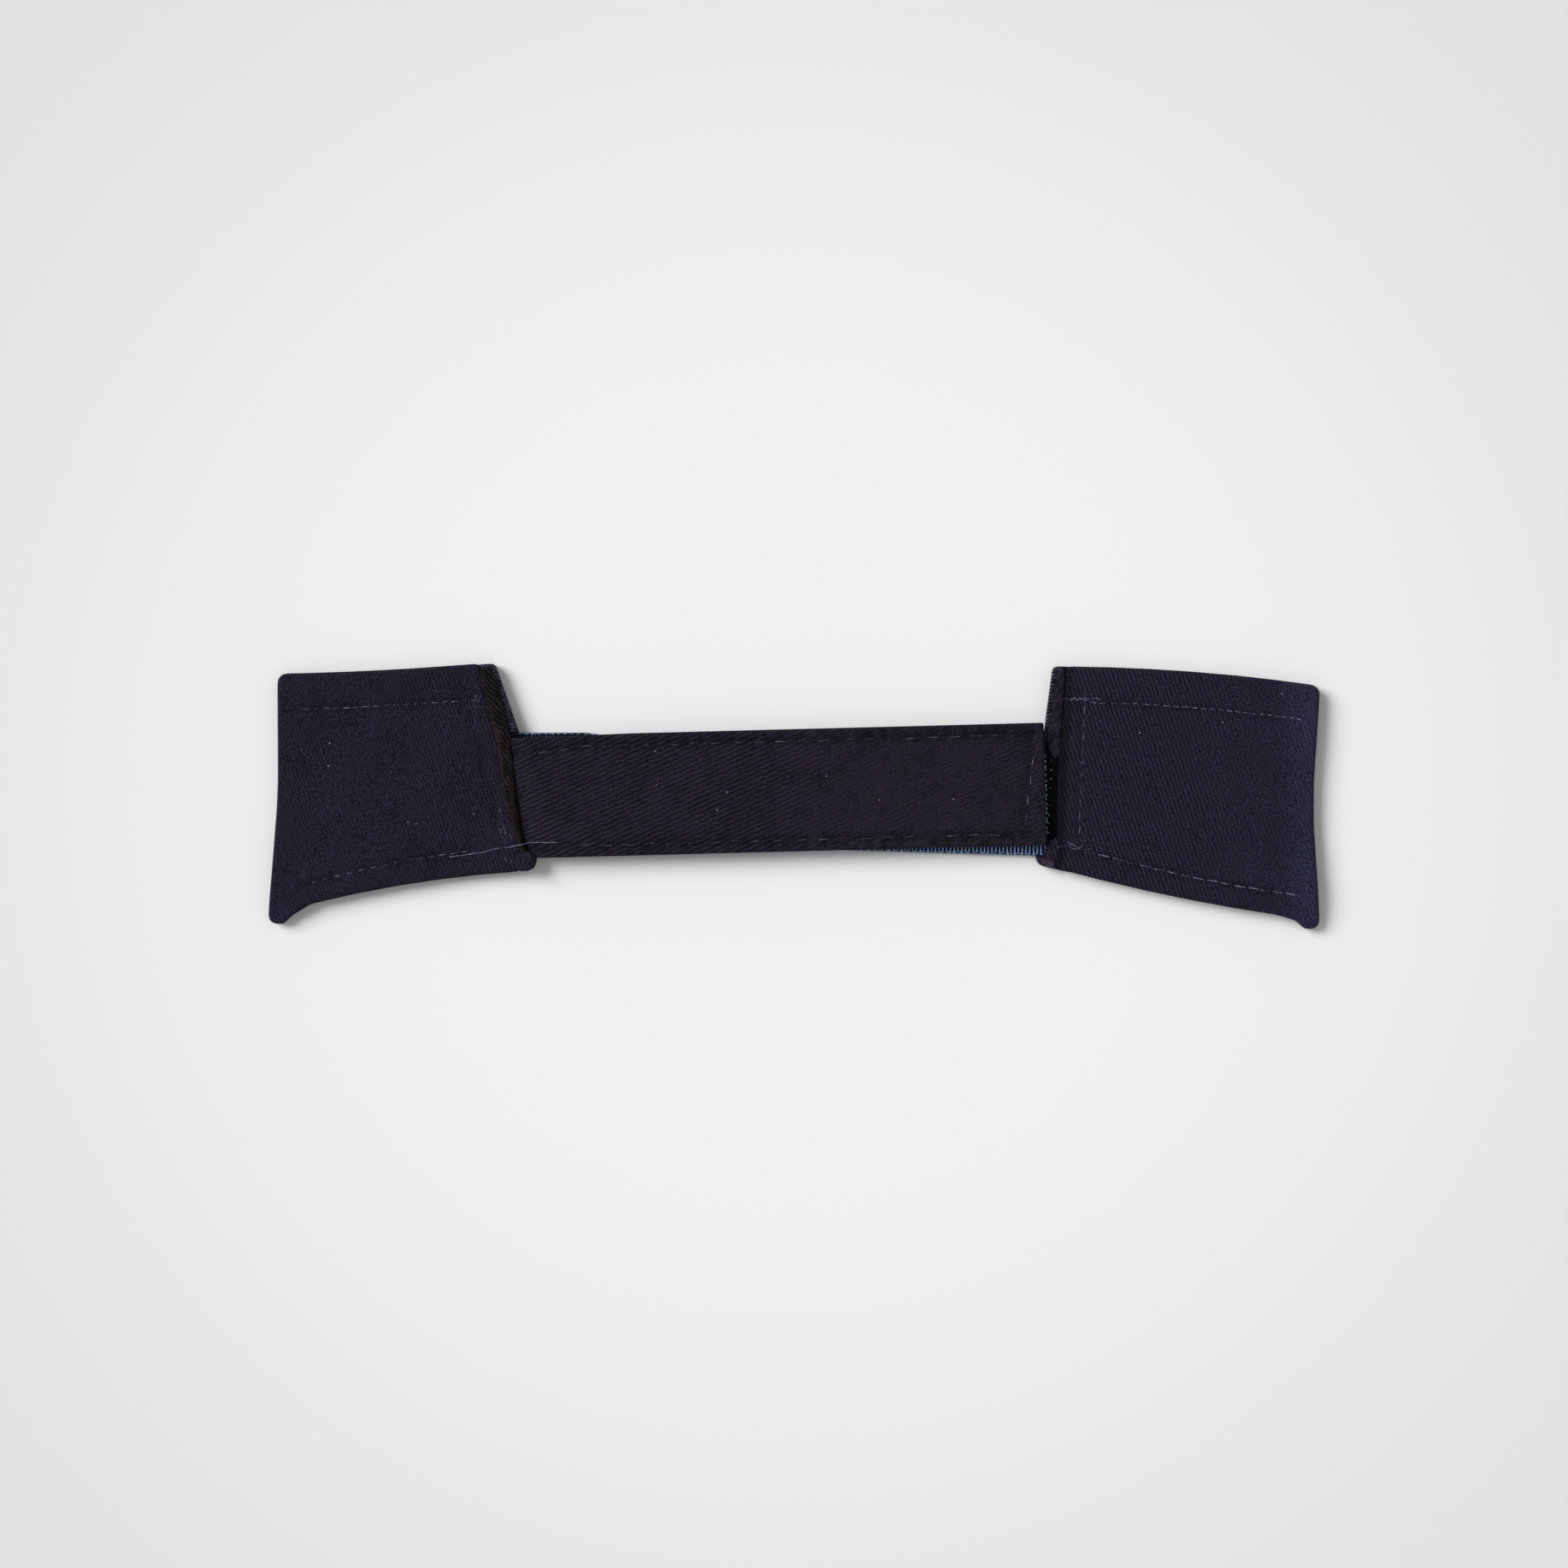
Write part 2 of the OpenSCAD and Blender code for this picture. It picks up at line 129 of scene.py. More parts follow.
OVER = Strap((-46.2, -0.1), 1.47, 22.0)
OVER_END = 91.4
UNDER = Strap((43.6, -0.9), -1.55, 19.0)


def joint(name):
    return next(j for j in frame["joints"] if j["name"] == name)


def turns(piece):
    """Bakes a piece's placement into its mesh; the cloth is not made to turn with a joint."""
    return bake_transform(piece)


class Fold:
    """A wing's inner edge. off() is the distance outward from its front fold. The wing's
    hinge lies HEM outward, on the top of the cloth."""

    def __init__(self, name, side):
        self.joint = joint(name)
        x, y = self.joint["axis"][:2]
        self.out = np.array([y, -x]) * np.sign(y) * side
        self.front = np.array(self.joint["pos_m"][:2]) / MM - HEM * self.out

    def off(self, p):
        return (np.asarray(p)[..., :2] - self.front) @ self.out

    def bend(self, piece):
        """Bakes the cloth's placement into its mesh; it is not made to turn with the wing."""
        return turns(piece)


LEFT = Fold("left_wing_fold", -1)
RIGHT = Fold("right_wing_fold", 1)


def peel(piece):
    """Bakes the placement of what belongs to the over strap; it is not made to lift off from the top of
    its ramp.
    """
    return turns(piece)


# --- small helpers for shapes ---

WAVES = 7            # how many waves make up an unevenness
OUTLINE_STEP = 0.4   # the points of an outline lie no further apart than this


def smooth(x):
    x = np.clip(x, 0, 1)
    return x * x * (3 - 2 * x)


def hump(x, middle, reach):
    return np.exp(-((x - middle) / reach) ** 2)


def even(z):
    """The same height everywhere."""
    return lambda p: np.full(np.asarray(p).shape[:-1], z)


def waver(p, size, seed):
    """Gentle unevenness between about -1 and 1, with hills about size mm apart."""
    dice = random.Random(seed)
    p = np.asarray(p)
    height = np.zeros(p.shape[:-1])
    for _ in range(WAVES):
        a, f = dice.uniform(0, math.tau), math.tau / (size * dice.uniform(0.7, 1.5))
        height += np.sin(f * (p[..., 0] * math.cos(a) + p[..., 1] * math.sin(a))
                         + dice.uniform(0, math.tau))
    return height / math.sqrt(WAVES)


def places(mesh):
    return np.array([v.co for v in mesh.vertices]) / MM


def marked(piece, **amounts):
    """Marks each point. wear is from -1, painted shade in creases and furrows,
    to 1, where the cloth is paler; nap is from 0 to 1, a brushed surface in which the ribs are lost."""
    co = places(piece.data)
    for name, amount in amounts.items():
        mark = piece.data.attributes.new(name, "FLOAT", "POINT")
        mark.data.foreach_set("value", np.clip(amount(co), -1, 1).astype(np.float32))


def lifted(xy, z):
    xy = np.asarray(xy)
    z = np.broadcast_to(z, xy.shape[:-1])
    return np.concatenate([xy, z[..., None]], axis=-1)


def unit(v):
    return v / np.maximum(np.linalg.norm(v, axis=-1, keepdims=True), 1e-9)


def line_through(points, step):
    """A smooth open line through points (Catmull-Rom), with its points about step apart."""
    p = np.asarray(points, float)
    ends = np.vstack([2 * p[0] - p[1], p, 2 * p[-1] - p[-2]])
    made = []
    for k in range(len(p) - 1):
        a, b, c, d = ends[k:k + 4]
        n = max(1, math.ceil(np.linalg.norm(c - b) / step))
        for t in np.arange(n)[:, None] / n:
            made.append(0.5 * (2 * b + (c - a) * t + (2 * a - 5 * b + 4 * c - d) * t * t
                               + (3 * b - a - 3 * c + d) * t ** 3))
    return np.vstack(made + [p[-1:]])


def straight(a, b):
    """A straight line with its points about 1 mm apart."""
    a, b = np.array(a, float), np.array(b, float)
    n = max(2, int(np.linalg.norm(b - a)))
    return a + (b - a) * np.linspace(0, 1, n)[:, None]


def run_along(line):
    """How far along an open line each of its points is."""
    return np.append(0, np.cumsum(np.linalg.norm(np.diff(line, axis=0), axis=1)))


def walk(line, where):
    """Points at the given shares of an open line's length."""
    size = run_along(line)
    return np.stack([np.interp(np.asarray(where) * size[-1], size, x) for x in line.T], axis=1)


# --- outlines ---

def top_loop(node):
    """The outline of a CAD node's top face, counter-clockwise."""
    mesh = frame["nodes"][node].data
    co = places(mesh)
    high = co[:, 2].max() - 0.01
    key = [tuple(np.round(c[:2], 3)) for c in co]
    edges = set()
    for face in mesh.polygons:
        corners = list(face.vertices)
        if all(co[i][2] > high for i in corners):
            edges |= {(key[a], key[b]) for a, b in zip(corners, corners[1:] + corners[:1])}
    ahead = {a: b for a, b in sorted(edges) if (b, a) not in edges}
    loop = [next(iter(ahead))]
    while ahead[loop[-1]] != loop[0]:
        loop.append(ahead[loop[-1]])
    return np.array(loop)


def dense(loop):
    """The same closed line with its points close together."""
    made = []
    for a, b in zip(loop, np.roll(loop, -1, axis=0)):
        n = max(1, math.ceil(np.linalg.norm(b - a) / OUTLINE_STEP))
        made += [a + (b - a) * k / n for k in range(n)]
    return np.array(made)


def wing_outline(side, inner, fold):
    """A wing's cloth as one outline, from the two nodes that meet on its fold line."""
    chains = []
    for node in (f"{side}_back_panel", f"{side}_{inner}"):
        loop = top_loop(node)
        cut = np.abs(fold.off(loop) - HEM) < 0.12
        first = next(i for i in range(len(loop)) if cut[i - 1] and not cut[i])
        chains.append(np.roll(loop, -first, axis=0)[~np.roll(cut, -first)])
    return dense(np.vstack(chains))


def softened(loop, rounds=3):
    """Cloth has no facets: each point moves a little toward its neighbours."""
    for _ in range(rounds):
        loop = 0.5 * loop + 0.25 * (np.roll(loop, 1, axis=0) + np.roll(loop, -1, axis=0))
    return loop


def nearest(points, starts, ends):
    """Distance of each point from the nearest of some straight stretches, and its number."""
    flat = np.asarray(points)[..., :2].reshape(-1, 2)
    best, near = np.full(len(flat), 1e9), np.zeros(len(flat), int)
    for k, (a, d) in enumerate(zip(starts, ends - starts)):
        t = np.clip(((flat - a) @ d) / max(d @ d, 1e-9), 0, 1)
        q = np.linalg.norm(flat - a - t[:, None] * d, axis=1)
        closer = q < best
        best[closer], near[closer] = q[closer], k
    shape = np.asarray(points).shape[:-1]
    return best.reshape(shape), near.reshape(shape)


def edge_distance(points, ring):
    return nearest(points, ring, np.roll(ring, -1, axis=0))


def line_distance(points, line):
    return nearest(points, line[:-1], line[1:])[0]


# --- patches: grids of points that fill a four-cornered outline ---

ROLLED = (0, 0.04, 0.12, 0.25, 0.42, 0.64, 0.92, 1.3)   # grid lines near a rolled edge
CUT = (0, 0.06, 0.18)                                   # near a cut one
WOVEN = (0, 0.1, 0.3)                                   # and near a woven one


def shares(length, step, near):
    """Places of grid lines as shares of a length, closer together near both ends."""
    near = [e for e in near if e < length / 2.2]
    inner = np.linspace(near[-1], length - near[-1],
                        max(2, int((length - 2 * near[-1]) / step)) + 1)
    return np.concatenate([near[:-1], inner, [length - e for e in near[-2::-1]]]) / length


def filled(low, right, high, left, u, v):
    """A grid between four sides; low and high run to the right, left and right run up."""
    U, V = u[:, None, None], v[None, :, None]
    return ((1 - V) * low[:, None] + V * high[:, None] + (1 - U) * left[None] + U * right[None]
            - (1 - U) * (1 - V) * low[0] - U * (1 - V) * low[-1]
            - U * V * high[-1] - (1 - U) * V * high[0])


def patch(loop, step, near, across):
    """A grid over an outline, and its grid lines' shares. across is the step upward, if
    it isn't the same."""
    corner = [int(np.argmax(loop @ np.array(d))) for d in ((-1, -1), (1, -1), (1, 1), (-1, 1))]
    sides = []
    for a, b in zip(corner, corner[1:] + corner[:1]):
        sides.append(loop[(a + np.arange((b - a) % len(loop) + 1)) % len(loop)])
    low, right, high, left = sides[0], sides[1], sides[2][::-1], sides[3][::-1]
    u = shares(run_along(low)[-1], step, near)
    v = shares(run_along(left)[-1], across or step, near)
    return filled(walk(low, u), walk(right, v), walk(high, u), walk(left, v), u, v), u, v


def border(grid):
    """The outermost entries of a grid, counter-clockwise from its lower left."""
    return np.concatenate([grid[:-1, 0], grid[-1, :-1], grid[:0:-1, -1], grid[0, :0:-1]])


def drawn_in(ring, by):
    """A closed line moved inward."""
    run = unit(np.roll(ring, -1, axis=0) - np.roll(ring, 1, axis=0))
    return ring + np.asarray(by)[..., None] * np.stack([-run[:, 1], run[:, 0]], axis=1)


def within(grid, u, v, by):
    """The same grid with its border drawn in."""
    ring = softened(drawn_in(border(grid), by), 1)
    m, n = len(u) - 1, len(v) - 1
    low, right = ring[:m + 1], ring[m:m + n + 1]
    high = ring[m + n:2 * m + n + 1][::-1]
    left = np.vstack([ring[2 * m + n:], ring[:1]])[::-1]
    return filled(low, right, high, left, u, v)


def rounding(d, radius):
    """How far a rolled edge has dropped at distance d from the outline."""
    radius = np.maximum(radius, 1e-6)
    k = np.clip(1 - d / radius, 0, 1)
    return radius * (1 - np.sqrt(1 - k * k))


# --- meshes ---

class Skin:
    """The points and faces of one piece. Each point also keeps its place on the flat cloth,
    in mm, from which its weave is drawn, so the weave stays on the cloth where it bends."""

    def __init__(self):
        self.points, self.flat, self.faces, self.count = [], [], [], 0

    def add(self, points, flat=None):
        points = np.asarray(points, float)
        self.points.append(points.reshape(-1, 3))
        laid = self.points[-1] if flat is None else np.asarray(flat, float).reshape(-1, 3)
        self.flat.append(laid)
        index = np.arange(self.count, self.count + len(laid)).reshape(points.shape[:-1])
        self.count += len(laid)
        return index

    def grid(self, index, down=False):
        a, b, c, d = index[:-1, :-1], index[1:, :-1], index[1:, 1:], index[:-1, 1:]
        order = (a, d, c, b) if down else (a, b, c, d)
        self.faces += np.stack([x.ravel() for x in order], axis=1).tolist()

    def band(self, upper, lower):
        """A strip of faces between two rings, the upper one nearer the top."""
        order = (upper, lower, np.roll(lower, -1), np.roll(upper, -1))
        self.faces += np.stack(order, axis=1).tolist()

    def tube(self, line, radius, sides=6, squash=1.0):
        """A closed tube along a line. radius is one number, one for each point, or a table of
        one for each point and side. Each tube takes its own stretch of yarn."""
        line = np.asarray(line, float)
        run = unit(np.gradient(line, axis=0))
        side = np.cross(run, [0, 0, 1.0])
        side[np.linalg.norm(side, axis=1) < 0.05] = (1, 0, 0)
        side = unit(side - run * np.sum(side * run, axis=1, keepdims=True))
        rise = np.cross(side, run)
        radius = np.asarray(radius, float)
        if radius.ndim < 2:
            radius = np.broadcast_to(radius.reshape(-1, 1), (len(line), sides))
        turn = np.arange(sides) * math.tau / sides
        outward = (np.cos(turn)[None, :, None] * side[:, None]
                   + squash * np.sin(turn)[None, :, None] * rise[:, None])
        flat = np.zeros((len(line), sides, 3))
        flat[..., 0] = run_along(line)[:, None] + 7.3 * self.count / sides
        flat[..., 1] = turn * radius
        index = self.add(line[:, None] + radius[..., None] * outward, flat)
        for a, b in zip(index[:-1], index[1:]):
            self.faces += np.stack((a, np.roll(a, -1), np.roll(b, -1), b), axis=1).tolist()
        past = np.array([[-0.4], [0.4]]) * radius[[0, -1], :1]
        tips = self.add(line[[0, -1]] + run[[0, -1]] * past, flat[[0, -1], 0])
        for tip, ring, back in ((tips[0], index[0], True), (tips[1], index[-1], False)):
            for a, b in zip(ring.tolist(), np.roll(ring, -1).tolist()):
                self.faces.append([b, a, int(tip)] if back else [a, b, int(tip)])

    def piece(self, name, material, slot):
        mesh = bpy.data.meshes.new(name)
        mesh.from_pydata((np.vstack(self.points) * MM).tolist(), [], self.faces)
        laid = mesh.attributes.new("cloth", "FLOAT_VECTOR", "POINT")
        laid.data.foreach_set("vector", np.vstack(self.flat).astype(np.float32).ravel())
        mesh.polygons.foreach_set("use_smooth", [True] * len(mesh.polygons))
        mesh.materials.append(material)
        mesh.update()
        made = bpy.data.objects.new(name, mesh)
        bpy.context.scene.collection.objects.link(made)
        return made


def turned_cloth(name, loop, top, under, rim, roll, material, across):
    """Cloth whose edges roll down over what it covers and are turned under. top and under
    give its heights at any points, and roll is the radius of its edge."""
    skin = Skin()
    grid, u, v = patch(loop, 0.5, ROLLED, across)
    ring = border(grid)
    low = under(ring)
    bend = np.minimum(roll, 0.5 * (top(ring) - low))
    d, near = edge_distance(grid, ring)
    upper = skin.add(lifted(grid, top(grid) - rounding(d, bend[near])))
    skin.grid(upper)
    last, high = border(upper), top(ring) - bend
    r = np.minimum(0.3, 0.45 * (high - low))
    rolling = ((0 * r, low + r), (0.3 * r, low + 0.3 * r), (r, low), (r + rim / 2, low),
               (r + rim, low))
    for k, (inset, height) in enumerate(rolling, 1):
        index = skin.add(lifted(drawn_in(ring, inset), height),
                         lifted(drawn_in(ring, -0.5 * k), height))
        skin.band(last, index)
        last = index
    inner = within(grid, u, v, rim + 0.3)
    lower = skin.add(lifted(inner, np.maximum(top(inner) - CLOTH, under(inner) + 0.02)))
    skin.grid(lower, down=True)
    skin.band(last, border(lower))
    return skin.piece(name, material, "twill")


def flat_cloth(name, loop, top, under, material, slot, step=1.0, across=None, near=CUT, roll=0):
    """One layer of cloth or tape with plain edges, or with its upper edge rolled."""
    skin = Skin()
    grid, u, v = patch(loop, step, near, across)
    ring = border(grid)
    sunk = rounding(edge_distance(grid, ring)[0], roll) if roll else 0
    inner = within(grid, u, v, 0.03)
    upper = skin.add(lifted(grid, top(grid) - sunk))
    lower = skin.add(lifted(inner, under(inner)))
    skin.grid(upper)
    skin.grid(lower, down=True)
    middle = skin.add(lifted(drawn_in(ring, -0.04), 0.5 * (top(ring) - roll + under(ring))))
    skin.band(border(upper), middle)
    skin.band(middle, border(lower))
    return skin.piece(name, material, slot)


def cut(piece, loop, held, rests_on, turned=0.0, with_pieces=()):
    (x, y), (u, v) = loop.T, np.roll(loop, -1, axis=0).T
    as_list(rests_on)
    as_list(with_pieces)


# --- materials ---

def linear(colour):
    """An sRGB hex colour as linear RGBA."""
    parts = [int(colour[i:i + 2], 16) / 255 for i in (1, 3, 5)]
    return (*(p / 12.92 if p <= 0.04045 else ((p + 0.055) / 1.055) ** 2.4 for p in parts), 1)


def add(tree, kind, inputs=(), **settings):
    """One shader node with its settings. An input is a value, or a node or socket to link."""
    made = tree.nodes.new("ShaderNode" + kind)
    for key, value in settings.items():
        setattr(made, key, value)
    for key, value in dict(inputs).items():
        if isinstance(value, bpy.types.Node):
            value = next(s for s in value.outputs if s.enabled)
        if isinstance(value, bpy.types.NodeSocket):
            tree.links.new(value, made.inputs[key])
        else:
            made.inputs[key].default_value = value
    return made


MIX_A, MIX_B = 6, 7                  # the colour sockets of a Mix node
RIPPLE = math.pi / 10                # a Wave texture of scale 1 repeats at this length


def started(name):
    """A new material and its nodes."""
    material = bpy.data.materials.new(name)
    material.use_nodes = True
    material.node_tree.nodes.clear()
    return material, material.node_tree


def flat_place(tree):
    """The place on the flat cloth, in mm, from which a weave is drawn."""
    return add(tree, "Attribute", attribute_name="cloth").outputs["Vector"]


def finished(tree, colour, relief, strength, distance, roughness, gloss):
    """Yarn takes a dielectric's IOR; its relief is a bump of distance metres."""
    bump = add(tree, "Bump", {"Height": relief, "Strength": strength, "Distance": distance})
    yarn = add(tree, "BsdfPrincipled", {"Base Color": colour, "Normal": bump, "IOR": 1.5,
                                        "Roughness": roughness, "Specular IOR Level": gloss})
    add(tree, "OutputMaterial", {"Surface": yarn})


def ribs(tree, place, spacing, slant, ragged, detail=1.5):
    """Ridges spacing mm apart that run slant degrees from the cloth's length."""
    turned = add(tree, "VectorRotate", {"Vector": place, "Angle": math.radians(90 - slant)},
                 rotation_type="Z_AXIS")
    return add(tree, "TexWave", {"Vector": turned, "Scale": RIPPLE / spacing,
                                 "Distortion": ragged, "Detail": 2.0, "Detail Scale": detail},
               wave_type="BANDS", bands_direction="X")


def total(tree, *parts):
    """A weighted sum of values: pairs of (node or socket, weight)."""
    made = None
    for value, weight in parts:
        scaled = add(tree, "Math", {0: value, 1: weight}, operation="MULTIPLY")
        made = scaled if made is None else add(tree, "Math", {0: made, 1: scaled}, operation="ADD")
    return made


def dyed(tree, share, dark, pale):
    """Yarn between two dyes: the share is held between 0 and 1, and mixes them."""
    shade = add(tree, "Math", {0: share, 1: 1.0}, operation="MULTIPLY", use_clamp=True)
    return shade, add(tree, "Mix", {0: shade, MIX_A: linear(dark), MIX_B: pale}, data_type="RGBA")


def twill(name, dark, pale, wale, slant, ragged, bold, mottle, grit, bloom, paling_and_shade, patches):
    """Piece-dyed cotton twill: diagonal ribs of matt yarn with dark gaps between them, painted shade;
    fibre ends painted as pale specks, as where they catch the light; and dye that took a little unevenly.
    It is paler where wear is above 0, and darker, as painted shade, where it is below 0."""
    material, tree = started(name)
    place = flat_place(tree)
    wear = add(tree, "Attribute", attribute_name="wear").outputs["Fac"]
    nap = add(tree, "Attribute", attribute_name="nap").outputs["Fac"]
    brushed = add(tree, "Math", {0: nap, 1: 0.0}, operation="MAXIMUM")
    wales = ribs(tree, place, wale, slant, ragged)
    picks = ribs(tree, place, wale * 0.62, slant - 74, ragged * 1.6, 2.5)
    fibre, tuft, dye = (
        add(tree, "TexNoise", {"Vector": place, "Scale": scale, "Detail": detail, "Roughness": rough})
        for scale, detail, rough in ((4.6, 2.0, 0.7), (patches, 2.0, 0.6), (0.11, 3.0, 0.6)))
    yarn = add(tree, "Math", {0: wales, 1: picks}, operation="MULTIPLY")
    ridge = add(tree, "Math", {0: wales, 1: 0.6}, operation="POWER")
    weave = total(tree, (ridge, 0.75), (yarn, 0.5), (1.0, -0.59))
    clear = add(tree, "MapRange", {"Value": brushed, "To Min": bold, "To Max": 0.2 * bold})
    woven = add(tree, "Math", {0: weave, 1: clear}, operation="MULTIPLY")
    # painted shade: darker where wear is below 0
    painted_shade = add(tree, "Math", {0: wear, 1: 0.0}, operation="MINIMUM")
    share = total(tree, (woven, 0.75), (fibre, 1.9 * grit), (tuft, 0.5 * grit), (painted_shade, 1.0),
                  (dye, 1.6 * mottle), (1.0, 0.42 - 1.2 * grit - 0.8 * mottle))
    bluer = add(tree, "MapRange", {"Value": tuft, "From Min": 0.48, "From Max": 0.64})
    light = add(tree, "Mix", {0: bluer, MIX_A: linear(pale), MIX_B: linear(bloom)}, data_type="RGBA")
    shade, cloth = dyed(tree, share, dark, light)
    rub = add(tree, "Math", {0: wear, 1: shade}, operation="MULTIPLY", use_clamp=True)
    worn_and_shaded = add(tree, "Mix", {0: rub, MIX_A: cloth, MIX_B: linear(paling_and_shade)}, data_type="RGBA")
    finished(tree, worn_and_shaded, total(tree, (woven, 0.8), (fibre, 0.5 * grit)), 0.9, 0.00022, 0.9, 0.12)
    return material


def corded(name, dark, pale, rib, roughness=0.7):
    """Ribbed narrow-woven tape: cords across it with painted shade in the gaps, and paler yarns;
    wear makes it paler above 0 and darker, as painted shade, below 0.
    """
    material, tree = started(name)
    place = flat_place(tree)
    cords = ribs(tree, place, rib, 90, 0.5)
    ends = ribs(tree, place, rib * 0.7, 0, 1.2, 2.5)
    fibre = add(tree, "TexNoise", {"Vector": place, "Scale": 2.4, "Detail": 3.0, "Roughness": 0.65})
    wear = add(tree, "Attribute", attribute_name="wear").outputs["Fac"]
    crown = add(tree, "Math", {0: cords, 1: 3.0}, operation="POWER")
    share = total(tree, (crown, 1.4), (ends, 0.3), (fibre, 1.3), (1.0, -1.15), (wear, 1.1))
    finished(tree, dyed(tree, share, dark, linear(pale))[1],
             total(tree, (cords, 0.6), (ends, 0.4), (fibre, 0.3)), 0.8, 0.00015, roughness, 0.1)
    return material


def spun(name, dark, pale, roughness, grain, glint, coil=0.5, shine=0.08):
    """Spun polyester thread: plies that coil round each other, with a slight shine, and painted
    highlight and shade along its lengths, as where they would lie high and catch the light or sink into
    the cloth."""
    material, tree = started(name)
    place = flat_place(tree)
    plies = ribs(tree, place, coil, 60, 0.5)
    uneven = add(tree, "TexNoise", {"Vector": place, "Scale": grain, "Detail": 2.0})
    share = total(tree, (plies, 0.3), (uneven, glint), (1.0, 0.1 - 0.5 * glint))
    finished(tree, dyed(tree, share, dark, linear(pale))[1], plies, 0.6, 0.00006, roughness, shine)
    return material


def matted(name, dark, pale, scale, roughness=0.9, depth=0.0002):
    """Tangled fibre without a weave, such as felt, loop pile or lint."""
    material, tree = started(name)
    place = flat_place(tree)
    fibre = add(tree, "TexNoise", {"Vector": place, "Scale": scale, "Detail": 4.0,
                                   "Roughness": 0.7, "Distortion": 0.8})
    colour = add(tree, "Mix", {0: fibre, MIX_A: linear(dark), MIX_B: linear(pale)}, data_type="RGBA")
    finished(tree, colour, fibre, 0.7, depth, roughness, 0.5)
    return material


# The left wing's cloth is brushed, and the right one's still shows its ribs.
LEFT_TWILL = twill("navy_cotton_twill", "#010103", "#33293f", 0.66, 110, 2.6, 0.68, 0.2, 2.2,
                   "#292a3f", "#353650", 2.3)
RIGHT_TWILL = twill("navy_cotton_twill_ribbed", "#020206", "#352c45", 0.74, 109, 1.5, 0.95, 0.17,
                    1.9, "#2b2d40", "#3a3b57", 2.2)
# The strap's twill is bolder and blacker. The rolled fold's cloth is darker and browner: painted shade of
# its shadowed side.
STRAP_TWILL = twill("navy_cotton_twill_strap", "#030303", "#31283b", 0.82, 24, 2.2, 0.95, 0.3,
                    1.8, "#262831", "#2f3656", 0.9)
ROLL_TWILL = twill("navy_twill_painted_brown_shade", "#050200", "#251e22", 0.5, 118, 2.6, 0.35, 0.45,
                   2.1, "#231f29", "#3e353c", 1.4)
LINING = twill("purple_black_cotton_lining", "#050307", "#342c40", 0.5, 62, 1.5, 0.6, 0.25, 1.5,
               "#2b2638", "#534a5e", 1.2)
# Woven polyester tape: pale cords over dark gaps, with brighter yarn looped at its edges.
WEBBING = corded("slate_blue_ribbed_webbing", "#020514", "#90abe4", 0.68)
SELVEDGE = spun("pale_blue_selvedge_yarn", "#5b86b8", "#e2effc", 0.35, 0.9, 2.4, shine=0.3)
CORD = spun("blue_selvedge_cord", "#0d2238", "#3f7396", 0.5, 1.2, 2.4)
# Fastening tape: dull black nylon, clear hooks painted pale as points of glint, a painted highlight, and
# soft dark pile.
TAPE = corded("black_nylon_tape", "#020203", "#0b0b10", 0.5, 0.9)
HOOK = spun("clear_grey_nylon_hook", "#2c3446", "#f1f4f9", 0.15, 0.5, 2.6, 0.9, 0.5)
PILE = matted("navy_nylon_loop_pile", "#040508", "#1a1c29", 1.6, 0.6)
# Threads, from those that hide in the cloth to the ones that show as pale dashes; their paler lengths are
# painted highlight.
DARK_THREAD = spun("blue_black_polyester_thread", "#0c0b12", "#2b2836", 0.6, 0.4, 1.8)
EDGE_THREAD = spun("purple_grey_overlock_thread", "#13111a", "#5a5363", 0.6, 0.5, 2.6)
STRAP_THREAD = spun("grey_navy_polyester_thread", "#100f16", "#706e7c", 0.5, 0.35, 2.6)
NAVY_THREAD = spun("navy_polyester_thread", "#12101b", "#9490ac", 0.5, 0.35, 2.6)
LILAC_THREAD = spun("lilac_grey_polyester_thread", "#1d1c2c", "#a5a3c2", 0.4, 0.4, 2.6)
FELT = matted("pale_wool_felt_stiffener", "#a8a59b", "#d9d6cc", 1.1)
LINT = matted("white_cotton_lint", "#8a8a88", "#f2f2f2", 0.5, 0.9, 0.00005)

# --- wings ---

FRONT_UNDER = BACK_TOP + 0.02     # the front's turned edges lie on the back cloth
BACK_UNDER = 0.14                 # the back cloth lies on its bobbin threads
FELT_TOP = 2.02
STRIP_RISE = 1.7                  # the back's free edge is folded up this much
SLOT_UNDER = HOOK_TOP + 0.03      # where a strap's end lies in the seam
BOW = np.sin(np.linspace(0.12, 0.88, 6) * math.pi)     # how a stitch arches


def row_line(node, start, end):
    """The line that a CAD row of stitches follows, carried on to x = start and x = end."""
    x, y = places(frame["nodes"][node].data)[:, :2].T
    fit = np.polyfit(x, y, 2)
    x = np.linspace(start, end, max(2, int(abs(end - start))))
    return np.stack([x, np.polyval(fit, x)], axis=1)


def puckered(p, lines, depth=0.16, width=0.75):
    """Stitching draws the cloth down in a groove."""
    return sum(-depth * hump(line_distance(p, line), 0, width) for line in lines)


def swollen(loop, fold, hills):
    """The front fold isn't quite straight: it swells toward the strap, or draws back."""
    push = sum(rise * hump(loop[:, 1], middle, reach) for middle, rise, reach in hills)
    return loop - (push * smooth(1 - np.abs(fold.off(loop)) / 2.0))[:, None] * fold.out


